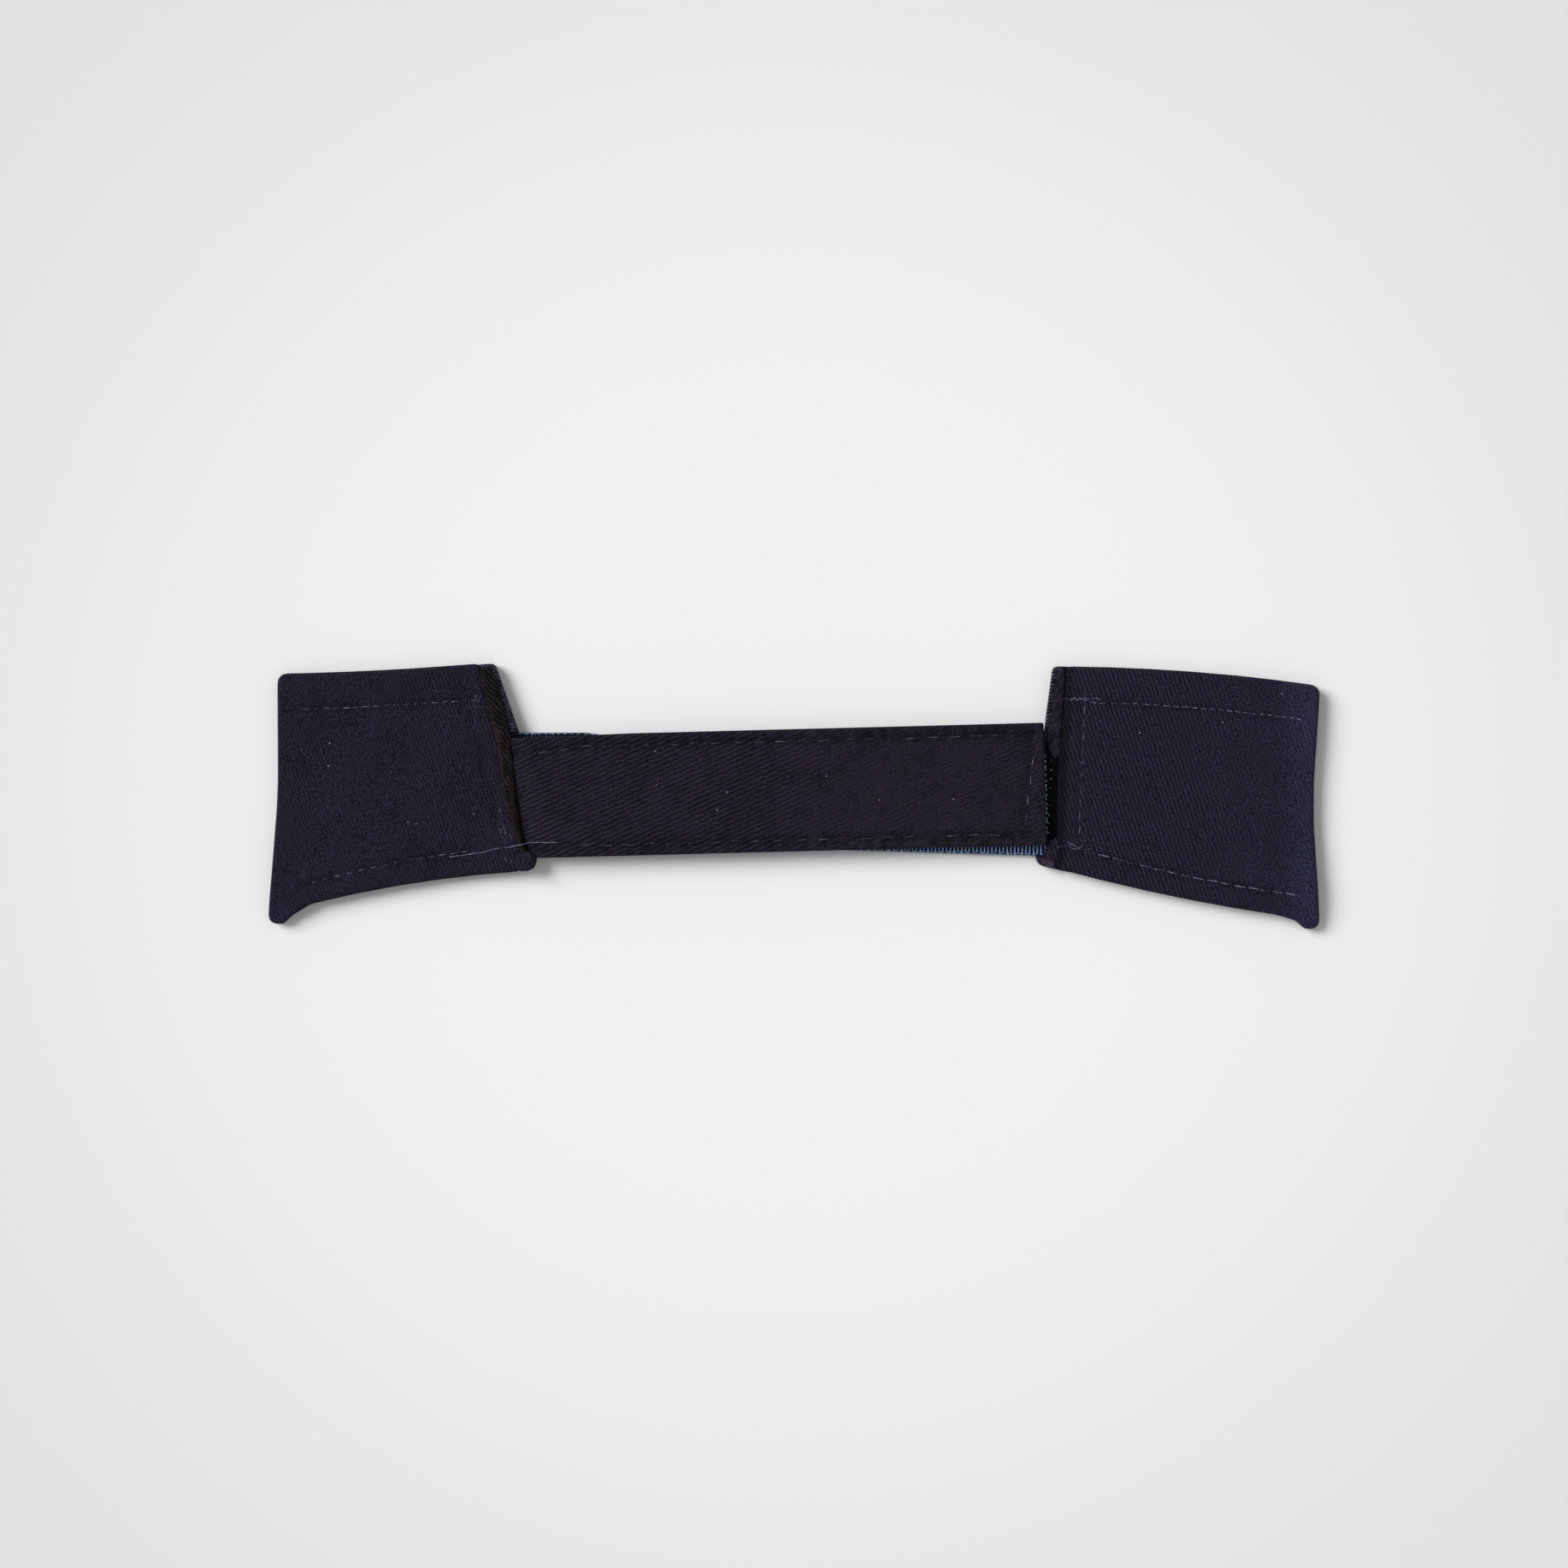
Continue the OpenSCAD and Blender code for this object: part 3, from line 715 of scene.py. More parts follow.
def stitched(name, top, under, line, pitch, share, material, seed,
             thick=THREAD, wander=0.06, lower=True, sink=0.0):
    """A row of lockstitch: lengths of thread that dip into the cloth between needle holes.
    pitch is (first, last) along the line; the bobbin thread shows between them below. The
    row lies deeper in the cloth by sink toward its end."""
    dice = random.Random(seed)
    skin, size, s = Skin(), run_along(line)[-1], 0.3
    while s < size - pitch[1]:
        step = (pitch[0] + (pitch[1] - pitch[0]) * s / size) * dice.uniform(0.93, 1.07)
        run = step * share * dice.uniform(0.9, 1.08)
        for above, begin, length in ((True, s, run), (False, s + run * 0.75, step * 0.95)):
            if not (above or lower):
                continue
            xy = walk(line, np.clip((begin + length * np.arange(6) / 5) / size, 0, 1))
            go = unit(xy[-1] - xy[0])
            slip, twist = dice.uniform(-wander, wander), dice.uniform(-wander, wander)
            xy = xy + np.array([-go[1], go[0]]) * (slip + twist * np.linspace(-1, 1, 6)[:, None])
            deep = 0.12 + sink * s / size
            z = top(xy) + 0.2 * BOW - deep if above else under(xy) + 0.2 - 0.12 * BOW
            skin.tube(lifted(xy, z), thick / 2 * (0.6 + 0.4 * BOW) * (1 if above else 0.8))
        s += step
    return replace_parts(skin.piece(f"{name}_thread", material, "thread"), f"{name}_stitch")


def wing(side, fold, strap, material, hills, rows, paling_and_shade, nap, seed):
    """One wing: front and back cloth with felt between them, all whole across the fold.
    Gives the height of its front."""
    front = softened(swollen(wing_outline(side, "front_hem", fold), fold, hills))
    lines = [row["line"] for row in rows.values()]
    corner = fold.out - (0, 1)
    toe = front[int(np.argmax(front @ corner))] - 1.4 * corner / 1.4142

    def top(p):
        x = np.asarray(p)[..., 0]
        ripple = sum(0.05 * np.sin(math.tau * x / row["pitch"][0] + k)
                     * hump(line_distance(p, row["line"]), 0.9, 1.3)
                     for k, row in enumerate(rows.values()))
        tip = smooth(1 - np.linalg.norm(np.asarray(p)[..., :2] - toe, axis=-1) / 4.0)
        return (WING_TOP + 0.05 + 0.09 * waver(p, 17, seed) + 0.03 * waver(p, 5, seed + 1)
                + puckered(p, lines) + ripple - 0.7 * tip)

    def under(p):
        """The front lies on the back cloth, or on the strap that is sewn in between."""
        _, t = strap.local(p)
        on_strap = smooth((strap.width / 2 + 0.6 - np.abs(t)) / 0.5) * (fold.off(p) < TAIL_STOP)
        return FRONT_UNDER + (SLOT_UNDER - FRONT_UNDER) * on_strap

    def wear(p):
        # painted shade along the furrows of the two edge rows, over the wing's paling_and_shade mark
        furrows = sum(hump(line_distance(p, line), 0.2, 0.7) for line in lines[:2])
        return paling_and_shade(p, toe) - 0.2 * furrows * smooth(0.8 + waver(p, 4, seed + 7))

    cloth = turned_cloth(f"{side}_front_cloth", front, top, under, RIM, 0.75, material, 0.5)
    marked(cloth, wear=wear, nap=nap)
    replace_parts(cloth, f"{side}_front_panel", f"{side}_front_hem")
    fold.bend(cloth)
    cut(cloth, front, "folded", [f"{side}_felt"], turned=2.5)

    def strip(p):
        """The back's inner edge is a thick fold where no strap lies on it."""
        _, t = strap.local(p)
        clear = smooth((np.abs(t) - strap.width / 2 - 0.2) / 1.2)
        return clear * smooth((0.4 - fold.off(p)) / 0.8)

    def back_top(p):
        return BACK_TOP + strip(p) * (STRIP_RISE + 0.12 * waver(p, 2.2, seed + 3))

    back = softened(wing_outline(side, "back_strip", fold))
    back = drawn_in(back, 0.3 * smooth((fold.off(back) - 1) / 4))
    lining = flat_cloth(f"{side}_back_cloth", back, back_top, even(BACK_UNDER), LINING, "lining",
                        step=0.7, near=ROLLED, roll=0.2)
    marked(lining, wear=lambda p: 0.8 * strip(p))
    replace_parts(lining, f"{side}_back_panel", f"{side}_back_strip")
    fold.bend(lining)
    cut(lining, back, "laid", [])

    core = drawn_in(softened(dense(top_loop(f"{side}_interlining"))), 0.4)
    felt = flat_cloth(f"{side}_felt", core, even(FELT_TOP), even(BACK_TOP + 0.03), FELT,
                      "stiffener", step=1.5)
    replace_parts(felt, f"{side}_interlining")
    fold.bend(felt)
    cut(felt, core, "laid", [lining])

    for k, (edge, row) in enumerate(rows.items()):
        fold.bend(stitched(f"{side}_{edge}", top, even(0.0), seed=seed + 10 + k, **row))
    return top


LEFT_ROWS = dict(
    top=dict(line=row_line("left_top_stitch", -58.4, -91.6), pitch=(1.78, 1.78), share=0.62,
             material=NAVY_THREAD),
    bottom=dict(line=row_line("left_bottom_stitch", -56.3, -88.4), pitch=(2.0, 2.3), share=0.68,
                material=NAVY_THREAD, sink=0.12),
    seam=dict(line=straight((-59.6, 20.0), (-52.4, -7.6)), pitch=(2.1, 2.3), share=0.45,
              material=DARK_THREAD))
RIGHT_ROWS = dict(
    top=dict(line=row_line("right_top_stitch", 51.0, 93.0), pitch=(2.0, 1.25), share=0.7,
             material=LILAC_THREAD),
    bottom=dict(line=row_line("right_bottom_stitch", 52.0, 91.0), pitch=(2.65, 2.2), share=0.8,
                material=LILAC_THREAD, thick=0.23),
    seam=dict(line=straight((52.4, 19.2), (51.3, -8.2)), pitch=(2.4, 2.4), share=0.6,
              material=NAVY_THREAD))

left_top = wing(
    "left", LEFT, OVER, LEFT_TWILL, ((9.5, 0.9, 4.0), (-3.0, 0.2, 2.5), (-13.4, 2.4, 2.0)), LEFT_ROWS,
    lambda p, toe: 0.6 * smooth(1 - np.linalg.norm(p[:, :2] - toe, axis=1) / 4),
    lambda p: 0.75 - 0.55 * smooth((p[:, 0] + 74) / 14) + 0.25 * waver(p, 16, 25), 20)
# The right wing is paler toward its toe and outer edge, and darker along its front fold beside the
# pocket, as painted shade.
right_top = wing(
    "right", RIGHT, UNDER, RIGHT_TWILL, ((10.0, 0.6, 4.0), (0.0, 0.45, 7.0)), RIGHT_ROWS,
    lambda p, toe: 1.3 * smooth(1 - np.linalg.norm(p[:, :2] - toe - (0, -1), axis=1) / 4)
    + 0.75 * smooth((p[:, 0] - 86) / 7) - 0.6 * smooth(1.1 - RIGHT.off(p) / 1.6),
    lambda p: smooth((p[:, 0] - 62) / 26) + 0.2 * waver(p, 12, 45), 40)

# --- over strap: a twill tube over a backing, with loop tape sewn below ---

STRAP_EDGE = OVER.width / 2
TOP_ROW_T, BOTTOM_ROW_T = STRAP_EDGE - 2.15, 2.05 - STRAP_EDGE
DIP = 1.1        # how far the top row sinks toward the left seam


def over_loop(width, into, end, corner=0.8):
    """An outline along the over strap, from into mm inside the left wing to its free end."""
    h = width / 2
    arc = [k * math.pi / 12 for k in range(7)]
    low = [(end - corner + corner * math.sin(a), -h + corner * (1 - math.cos(a))) for a in arc]
    st = np.array([(OVER.meets(-h, LEFT, into), -h), *low, *((s, -t) for s, t in low[::-1]),
                   (OVER.meets(h, LEFT, into), h)])
    return dense(OVER.at(*st.T))


def climb(p):
    """How far the over strap has risen from its seat in the left wing."""
    share = (-LEFT.off(p) - RAMP_START) / (RAMP_END - RAMP_START)
    return (COVER_UNDER - SEAT) * smooth(share)


def strap_row(t, start=7.0, dip=0.0):
    """A line along the over strap, t across its middle, that dips toward the left seam."""
    s = np.arange(OVER.meets(t, LEFT, -start), OVER_END - 2, 1.0)
    return OVER.at(s, t - dip * smooth((9 - s) / 10))


END_ROW = OVER.at(OVER_END - np.linspace(1.6, 3.9, 20), np.linspace(8.7, -8.9, 20))
STRAP_LINES = [strap_row(TOP_ROW_T, 1.0, DIP), strap_row(BOTTOM_ROW_T, 1.0), END_ROW]


def over_top(p):
    s, t = OVER.local(p)
    rope = 0.11 * np.sin(math.tau * (s + 0.8 * np.abs(t)) / 2.3 + 1.6 * waver(p, 9, 5))
    edge = hump(STRAP_EDGE - np.abs(t), 0.9, 0.8)
    drape = 0.05 * waver(p, 14, 61) + 0.04 * waver(p, 4, 62)
    return (SEAT + COVER_TOP - COVER_UNDER + climb(p) + rope * edge + drape
            + puckered(p, STRAP_LINES, 0.3, 0.8))


def drawn_edge(loop):
    """The cover's upper edge draws in toward the left wing and bares the webbing's selvedge."""
    s, t = OVER.local(loop)
    by = 0.33 * smooth((19 - s) / 19) * smooth((t - 8) / 3)
    return loop - by[:, None] * OVER.across


def strap_painted_shade(p):
    """Painted shade: the cloth is darker in the furrows beside the stitches, in folds of its edges,
    and in the shadow of the left seam's roll along the left fold.
    """
    d = np.min([line_distance(p, line) for line in STRAP_LINES[:2]], axis=0)
    _, t = OVER.local(p)
    edge = smooth((np.abs(t) + 2.4 - STRAP_EDGE) / 0.5)
    folds = smooth((waver(p, 2.6, 66) - 0.15) / 0.4)
    # painted shadow of the left seam's roll, along the left fold
    seam = smooth((2.1 + LEFT.off(p)) / 1.2)
    return (-0.3 * hump(d, 0.35, 0.5) * smooth(0.9 + waver(p, 3, 67)) - 0.22 * folds * edge
            - 0.7 * seam)


def strap_nap(p):
    """The ribs are lost toward the free end, and show again in one place."""
    return smooth((p[:, 0] + 14) / 32) - 0.3 * hump(p[:, 0], 42, 6) + 0.2 * waver(p, 10, 65)


over_cloth = turned_cloth(
    "over_strap_cloth", softened(drawn_edge(over_loop(OVER.width, TAIL_STOP, OVER_END, 0.4)), 1),
    over_top, lambda p: SEAT + climb(p), TURNED, 0.5, STRAP_TWILL, 0.4)
marked(over_cloth, wear=strap_painted_shade, nap=strap_nap)
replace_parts(over_cloth, "over_cover", "over_cover_tail")
peel(over_cloth)

core_loop = over_loop(OVER.width - 2.9, TAIL_STOP - 1.3, OVER_END - 1.5)
over_core = flat_cloth(
    "over_strap_backing", core_loop, lambda p: SEAT + BACKING_TOP - COVER_UNDER + climb(p),
    lambda p: SEAT + 0.02 + climb(p), LINING, "lining")
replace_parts(over_core, "over_backing", "over_backing_tail")
peel(over_core)
cut(over_cloth, over_loop(OVER.width, TAIL_STOP, OVER_END), "folded", [over_core], TURNED)
cut(over_core, core_loop, "laid", ["hook_tape"])

LOOP_WIDTH = OVER.width - 2 * TURNED
LOOP_END = OVER_END - TURNED
PILE_START = RAMP_END + TURNED + BARE
PILE_UNDER = LOOP_UNDER + 0.12     # the bed of the pile; its loops hang lower
tape_loop = over_loop(LOOP_WIDTH, -RAMP_END - TURNED, LOOP_END)
loop_base = peel(flat_cloth("loop_tape_base", tape_loop, even(COVER_UNDER - 0.01),
                            even(LOOP_UNDER + 0.3), TAPE, "loop_tape"))
pile_bed = peel(flat_cloth(
    "loop_pile_bed", over_loop(LOOP_WIDTH - 2 * BARE, -PILE_START, LOOP_END - BARE),
    even(LOOP_UNDER + 0.29), lambda p: PILE_UNDER + 0.04 * waver(p, 1.3, 71), PILE, "loop_tape",
    step=0.8))


def pile_loops(spacing=1.15):
    """Single loops of the pile that stand out of its bed, leaning every way. They are
    thicker and further apart than real ones, so that they show."""
    dice, skin = random.Random(9), Skin()
    half = LOOP_WIDTH / 2 - BARE - 0.3
    turn = np.linspace(-0.2, 1.2, 6) * math.pi
    s = 1.0
    while s < LOOP_END - BARE - 0.5:
        t = -half
        while t < half:
            at = (s + dice.uniform(-0.4, 0.4), t + dice.uniform(-0.4, 0.4))
            if at[0] > OVER.meets(at[1], LEFT, -PILE_START - 0.4):
                a, w = dice.uniform(0, math.pi), dice.uniform(0.18, 0.34)
                st = np.array(at) + w * np.outer(np.cos(turn), (math.cos(a), math.sin(a)))
                skin.tube(lifted(OVER.at(*st.T), PILE_UNDER + 0.03 - 0.17 * np.sin(turn)), 0.045, 3)
            t += spacing
        s += spacing
    return skin.piece("loop_pile_loops", PILE, "loop_tape")


loops = pile_loops()
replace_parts(loops, "loop_tape")
peel(loops)
cut(loop_base, tape_loop, "laid", [over_core], with_pieces=[pile_bed, loops])


def row_under(p):
    """The bobbin thread lies on the pile tape, and on the bare cover before it."""
    on_tape = -LEFT.off(p) > RAMP_END + TURNED
    return np.where(on_tape, LOOP_UNDER + 0.14, SEAT + climb(p) - 0.05)


for name, line, pitch, material, seed in (
        ("over_top", strap_row(TOP_ROW_T, 3.15, DIP), 3.85, STRAP_THREAD, 81),
        ("over_bottom", strap_row(BOTTOM_ROW_T), 3.85, STRAP_THREAD, 82),
        ("over_end", END_ROW, 3.5, NAVY_THREAD, 83)):
    peel(stitched(name, over_top, row_under, line, (pitch, pitch), 0.5, material, seed, wander=0.12))

# --- under strap: ribbed webbing with hook tape sewn on top ---

WEB_START, HOOK_START = 2.6, 4.5      # their free ends, off the left fold, clear the ramp
HOOK_WIDTH = UNDER.width - TURNED
HOOK_BED = HOOK_UNDER + 0.3
RIB = 0.68
SLACK = 13.5                          # how much of the webbing's upper edge is slack


def under_loop(width, short):
    """An outline along the under strap, from short mm off the left fold to the right wing."""
    h = width / 2
    st = np.array([(UNDER.meets(t, fold, off), t) for t, fold, off in (
        (-h, LEFT, -short), (-h, RIGHT, TAIL_STOP), (h, RIGHT, TAIL_STOP), (h, LEFT, -short))])
    return dense(UNDER.at(*st.T))


def cords(p):
    """The cross cords of the tape, as waves from -1 to 1."""
    return np.cos(math.tau * UNDER.local(p)[0] / RIB)


def web_top(p):
    return WEB_TOP - 0.05 + 0.04 * cords(p) * smooth((9.4 - np.abs(UNDER.local(p)[1])) / 0.5)


def web_under(p):
    return WEB_UNDER + 0.05 - 0.04 * cords(p)


def hook_top(p):
    margin = smooth((np.abs(UNDER.local(p)[1]) - HOOK_WIDTH / 2 + BARE) / 0.3)
    return HOOK_BED - 0.08 + 0.04 * cords(p) * margin


def stands_out(s, t):
    """Slack near its free end, the webbing's upper edge stands out more and more up to SLACK."""
    run = np.maximum(s - UNDER.meets(UNDER.width / 2, LEFT, -WEB_START) - 0.5, 0)
    return 0.033 * run * smooth((SLACK + 4 - run) / 5) * smooth((t - 6) / 3)


def web_wear(p):
    """Paler along the lower edge, and darker along the upper one, as painted shade."""
    t = UNDER.local(p)[1]
    return np.where(t > 0, -0.8, 0.15 * smooth(1.6 - (UNDER.width / 2 + t) / 2.2))


web_loop = under_loop(UNDER.width, WEB_START)
web_loop = web_loop + stands_out(*UNDER.local(web_loop))[:, None] * UNDER.across
webbing = flat_cloth("under_strap_webbing", web_loop, web_top, web_under, WEBBING, "webbing",
                     step=0.17, across=1.2, near=WOVEN)
marked(webbing, wear=web_wear)
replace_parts(webbing, "under_webbing")
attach(webbing, "under_strap")


def selvedge_loops(name, side, out, half, thick, cord_thick):
    """The weft turns back at each edge of the webbing, in small loops round a cord."""
    dice, skin = random.Random(31 + side), Skin()
    t = side * UNDER.width / 2
    start, last = UNDER.meets(t, LEFT, -WEB_START) + 0.5, UNDER.meets(t, RIGHT, -2.6)
    turn = np.linspace(-0.1, 1.1, 7) * math.pi
    s = start
    while s < last:
        w, reach = half * dice.uniform(0.85, 1.15), out * dice.uniform(0.85, 1.15)
        along = s + w * np.cos(turn) + dice.uniform(-0.1, 0.1)
        xy = UNDER.at(along, t + stands_out(s, t) + side * (reach * np.sin(turn) - 0.1))
        skin.tube(lifted(xy, 1.24 + 0.1 * np.cos(turn)), thick)
        s += 1.2
    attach(skin.piece(f"{name}_loops", SELVEDGE, "webbing"), "under_strap")
    s, cord = np.arange(start, last, 0.6), Skin()
    edge = t + stands_out(s, t) + side * (0.26 - cord_thick)
    cord.tube(lifted(UNDER.at(s, edge), 1.1), cord_thick, 8)
    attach(cord.piece(f"{name}_cord", CORD, "webbing"), "under_strap")


selvedge_loops("top_selvedge", 1, 0.13, 0.17, 0.12, 0.18)
selvedge_loops("bottom_selvedge", -1, 0.1, 0.3, 0.15, 0.2)
cut(webbing, web_loop, "laid", [])

hook_loop = under_loop(HOOK_WIDTH, HOOK_START)
hook_base = flat_cloth("hook_tape_base", hook_loop, hook_top, even(HOOK_UNDER + 0.01), WEBBING,
                       "hook_tape", step=0.17, across=1.2, near=WOVEN)
# Its upper half is painted darker: painted shade in the pocket beside the right wing's front fold.
marked(hook_base, wear=lambda p: 0.12 - 1.1 * (UNDER.local(p)[1] > 0))
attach(hook_base, "under_strap")
hook_bed = flat_cloth("hook_tape_bed", under_loop(HOOK_WIDTH - 2 * BARE + 0.5, HOOK_START + BARE),
                      even(HOOK_BED), even(HOOK_BED - 0.03), TAPE, "hook_tape")
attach(hook_bed, "under_strap")


def hook_field(pitch=1.6):
    """Rows of monofilament hooks: each rises from the tape and turns over at its tip. They
    are thicker and further apart than real ones, so that they show."""
    dice, skin = random.Random(17), Skin()
    half, base = HOOK_WIDTH / 2 - BARE, HOOK_UNDER + 0.28
    turn = np.linspace(0, 1.35, 7) * math.pi
    z = base + 0.05 + 0.3 * np.sin(np.minimum(turn, 1.2 * math.pi))
    z[0] = base - 0.05
    for t in np.arange(0.3 - half, half, pitch):
        s, first = UNDER.meets(t, RIGHT, -1.9), UNDER.meets(t, LEFT, -HOOK_START - 2 * BARE)
        while s > first:
            lean = dice.uniform(-1.2, 1.2)
            tip = 0.13 * np.outer(1 - np.cos(turn), (math.cos(lean), math.sin(lean)))
            st = np.array([s, t]) + tip
            skin.tube(lifted(UNDER.at(st[:, 0], st[:, 1] + dice.uniform(-0.1, 0.1)), z), 0.1, 5)
            s -= pitch
    return skin.piece("hook_field", HOOK, "hook_tape")


hooks = hook_field()
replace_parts(hooks, "hook_tape")
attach(hooks, "under_strap")
cut(hook_base, hook_loop, "laid", [webbing], with_pieces=[hook_bed, hooks])

hook_t, hook_d = (HOOK_WIDTH - BARE) / 2, HOOK_START + BARE / 2
for name, t, last_t, last_s, seed in (
        ("hook_top", hook_t, hook_t, -TURNED, 91),
        ("hook_bottom", -hook_t, -hook_t, -TURNED, 92),
        ("hook_end", -hook_t, hook_t, UNDER.meets(hook_t, LEFT, -hook_d), 93)):
    st = straight((UNDER.meets(t, LEFT, -hook_d), t), (last_s, last_t))
    row = stitched(name, even(HOOK_UNDER + 0.3), even(WEB_UNDER), UNDER.at(*st.T), (3.8, 3.8), 0.5,
                   NAVY_THREAD, seed, lower=False)
    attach(row, "under_strap")

# --- seams: rolled edges, overcast strips and loose threads ---


def rolled(name, path, radii, lay, strands, material, squash, rough, body, sides=26, paling_and_shade=0.0):
    """A rolled edge of cloth along a path; its folds wind round it as strands round a cord.
    radii are its half widths at even steps, and lay is how far one strand lies from the next.
    paling_and_shade is how much paler the folds are on their crests than in the gaps between them, which
    take painted shade."""
    line = line_through(path, 0.16)
    size = run_along(line)
    wide = np.interp(size / size[-1], np.linspace(0, 1, len(radii)), radii)
    turn = np.arange(sides) * math.tau / sides
    spread = np.stack(np.broadcast_arrays(size[:, None], 1.3 * turn[None]), axis=2)
    uneven = waver(spread, 3, 4)
    wander = 1.3 * waver(spread, 2.6, 3) + 0.8 * waver(spread, 7, 5)
    ridge = np.cos(0.5 * (strands * turn[None] + math.tau * size[:, None] / lay + wander)) ** 2
    ends = np.sqrt(np.clip(np.minimum(size, size[-1] - size) / 0.8, 0.02, 1))[:, None]
    fold = rough * (0.25 + 0.75 * np.abs(np.sin(turn))) * (1.6 * ridge - 1)
    skin = Skin()
    skin.tube(line, wide[:, None] * ends * (1 + fold + 0.05 * uneven), sides, squash)
    made = skin.piece(name, material, "twill")
    marked(made, wear=lambda p: np.append(paling_and_shade * (2 * ridge - 1 + 0.5 * uneven), [0, 0]))
    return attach(made, body)


def as_laid(piece):
    """Draws a piece's weave straight across it, as on the cloth that it is a corner of."""
    co = np.array([v.co for v in piece.data.vertices], np.float32) / MM
    piece.data.attributes["cloth"].data.foreach_set("vector", co.ravel())


# Its darker, browner cloth and the gaps between its folds are painted shade.
rolled("left_seam_roll",
       [(-55.65, 23.5, 2.1), (-54.8, 20.2, 2.4), (-53.25, 14.1, 2.55), (-52.3, 10.3, 2.7),
        (-51.6, 4.8, 2.75), (-50.6, -2.85, 2.75), (-49.4, -8.2, 2.8), (-48.6, -9.9, 3.0),
        (-47.95, -10.9, 3.2), (-47.8, -11.5, 3.3)],
       (1.2, 1.5, 1.5, 1.35, 1.1, 1.0, 0.95, 0.85, 0.75, 0.5, 0.3), -1.35, 9, ROLL_TWILL, 0.45,
       0.34, "left_seam", sides=72, paling_and_shade=0.75)
as_laid(rolled("left_seam_curl", [(-50.4, -12.2, 2.6), (-48.5, -11.8, 2.95), (-46.3, -11.2, 2.9)],
               (0.9, 1.5, 1.7, 1.6, 1.3), 2.6, 1, LEFT_TWILL, 0.36, 0.04, "left_seam"))
rolled("right_seam_roll",
       [(48.1, 22.6, 2.3), (47.6, 17.0, 2.3), (47.15, 13.4, 2.4), (46.85, 11.6, 2.75),
        (46.85, 9.2, 2.5), (47.4, 6.8, 2.0)],
       (0.75, 0.8, 0.85, 1.05, 1.2, 1.15, 0.8), 2.6, 2, LINING, 0.3, 0.06, "under_strap",
       paling_and_shade=-0.25)
as_laid(rolled("right_seam_curl",
               [(47.2, -7.4, 2.45), (46.95, -8.8, 2.45), (46.6, -10.4, 2.1), (45.9, -12.0, 1.2)],
               (0.5, 1.3, 1.7, 1.7, 1.5), 2.6, 1, RIGHT_TWILL, 0.26, 0.04, "under_strap"))


def overcast(side, fold, low, high, body, slope, reach, seed, thick):
    """Thread whipped over the bare inner edge of a wing's back, from y = low to y = high:
    short slanting stitches, one after another."""
    loop = softened(wing_outline(side, "back_strip", fold))
    edge = loop[(fold.off(loop) < -0.8) & (loop[:, 1] > low) & (loop[:, 1] < high)]
    edge = edge[np.argsort(edge[:, 1])][::-1 if slope < 0 else 1]
    dice, skin = random.Random(seed), Skin()
    size, s = run_along(edge)[-1], 0.4
    while s < size - 0.4:
        a, b = walk(edge, np.array([s, s + 0.01]) / size)
        go = unit(b - a)
        inward = np.array([-go[1], go[0]])
        deep, lean = reach * dice.uniform(0.8, 1.15), slope * dice.uniform(0.8, 1.2)
        steps = ((1.0, 1.0, 0.0), (0.5, 0.5, 0.1), (0.08, 0.1, 0.0), (-0.04, 0.0, -0.35))
        points = [(*(a + inward * deep * i + go * lean * g), BACK_TOP + STRIP_RISE + rise)
                  for i, g, rise in steps]
        skin.tube(line_through(points, 0.2), thick, 5)
        s += 0.6 * dice.uniform(0.92, 1.08)
    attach(skin.piece(f"{side}_strip_overcast", EDGE_THREAD, "thread"), body)


overcast("left", LEFT, 10.5, 23.2, "left_seam", 0.45, 1.1, 5, 0.15)
overcast("right", RIGHT, 12.5, 22.8, "under_strap", -0.5, 0.8, 6, 0.16)


def strands(name, paths, radius, material=LILAC_THREAD, slot="thread"):
    """Loose lengths of yarn, each along its own path."""
    skin = Skin()
    for path in paths:
        skin.tube(line_through(path, 0.2), radius)
    return skin.piece(name, material, slot)


def on(top, xy, rise):
    """A point that lies on the cloth."""
    return (*xy, float(top(np.array([xy], float))[0]) + rise)


def lying(top, path, rise=0.1):
    return [on(top, xy, rise) for xy in path]


# The bottom row runs off the left wing as two plies, over the seam and onto the strap.
crossing = (
    lying(left_top, ((-62.0, -11.0), (-59.5, -10.6), (-56.7, -10.1), (-53.6, -9.5), (-51.2, -9.05)), 0.08)
    + [(-49.4, -8.75, 3.18), (-48.0, -8.5, 3.05)]
    + lying(over_top, ((-46.3, -8.35), (-44.6, -8.3), (-42.6, -8.2))))
twisted = [(x + 0.1, y + 0.16 * math.sin(0.9 * x), z + 0.02) for x, y, z in crossing]
for name, part, carry in (("crossing_thread_wing", slice(0, 4), LEFT.bend),
                          ("crossing_thread_strap", slice(3, None), peel)):
    carry(strands(name, [crossing[part], twisted[part]], 0.06))


def tangle(name, middle, size, count, seed):
    """A knot or a snagged thread: short curls lying over one another on the left wing."""
    dice, paths = random.Random(seed), []
    for _ in range(count):
        x, y = middle[0] + dice.gauss(0, size[0] / 3), middle[1] + dice.gauss(0, size[1] / 3)
        a, path = dice.uniform(0, math.tau), []
        for _ in range(4):
            path.append(on(left_top, (x, y), dice.uniform(0.05, 0.28)))
            a += dice.uniform(-1.1, 1.1)
            x, y = x + 0.3 * math.cos(a), y + 0.3 * math.sin(a)
        paths.append(path)
    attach(strands(name, paths, 0.045), "left_seam")


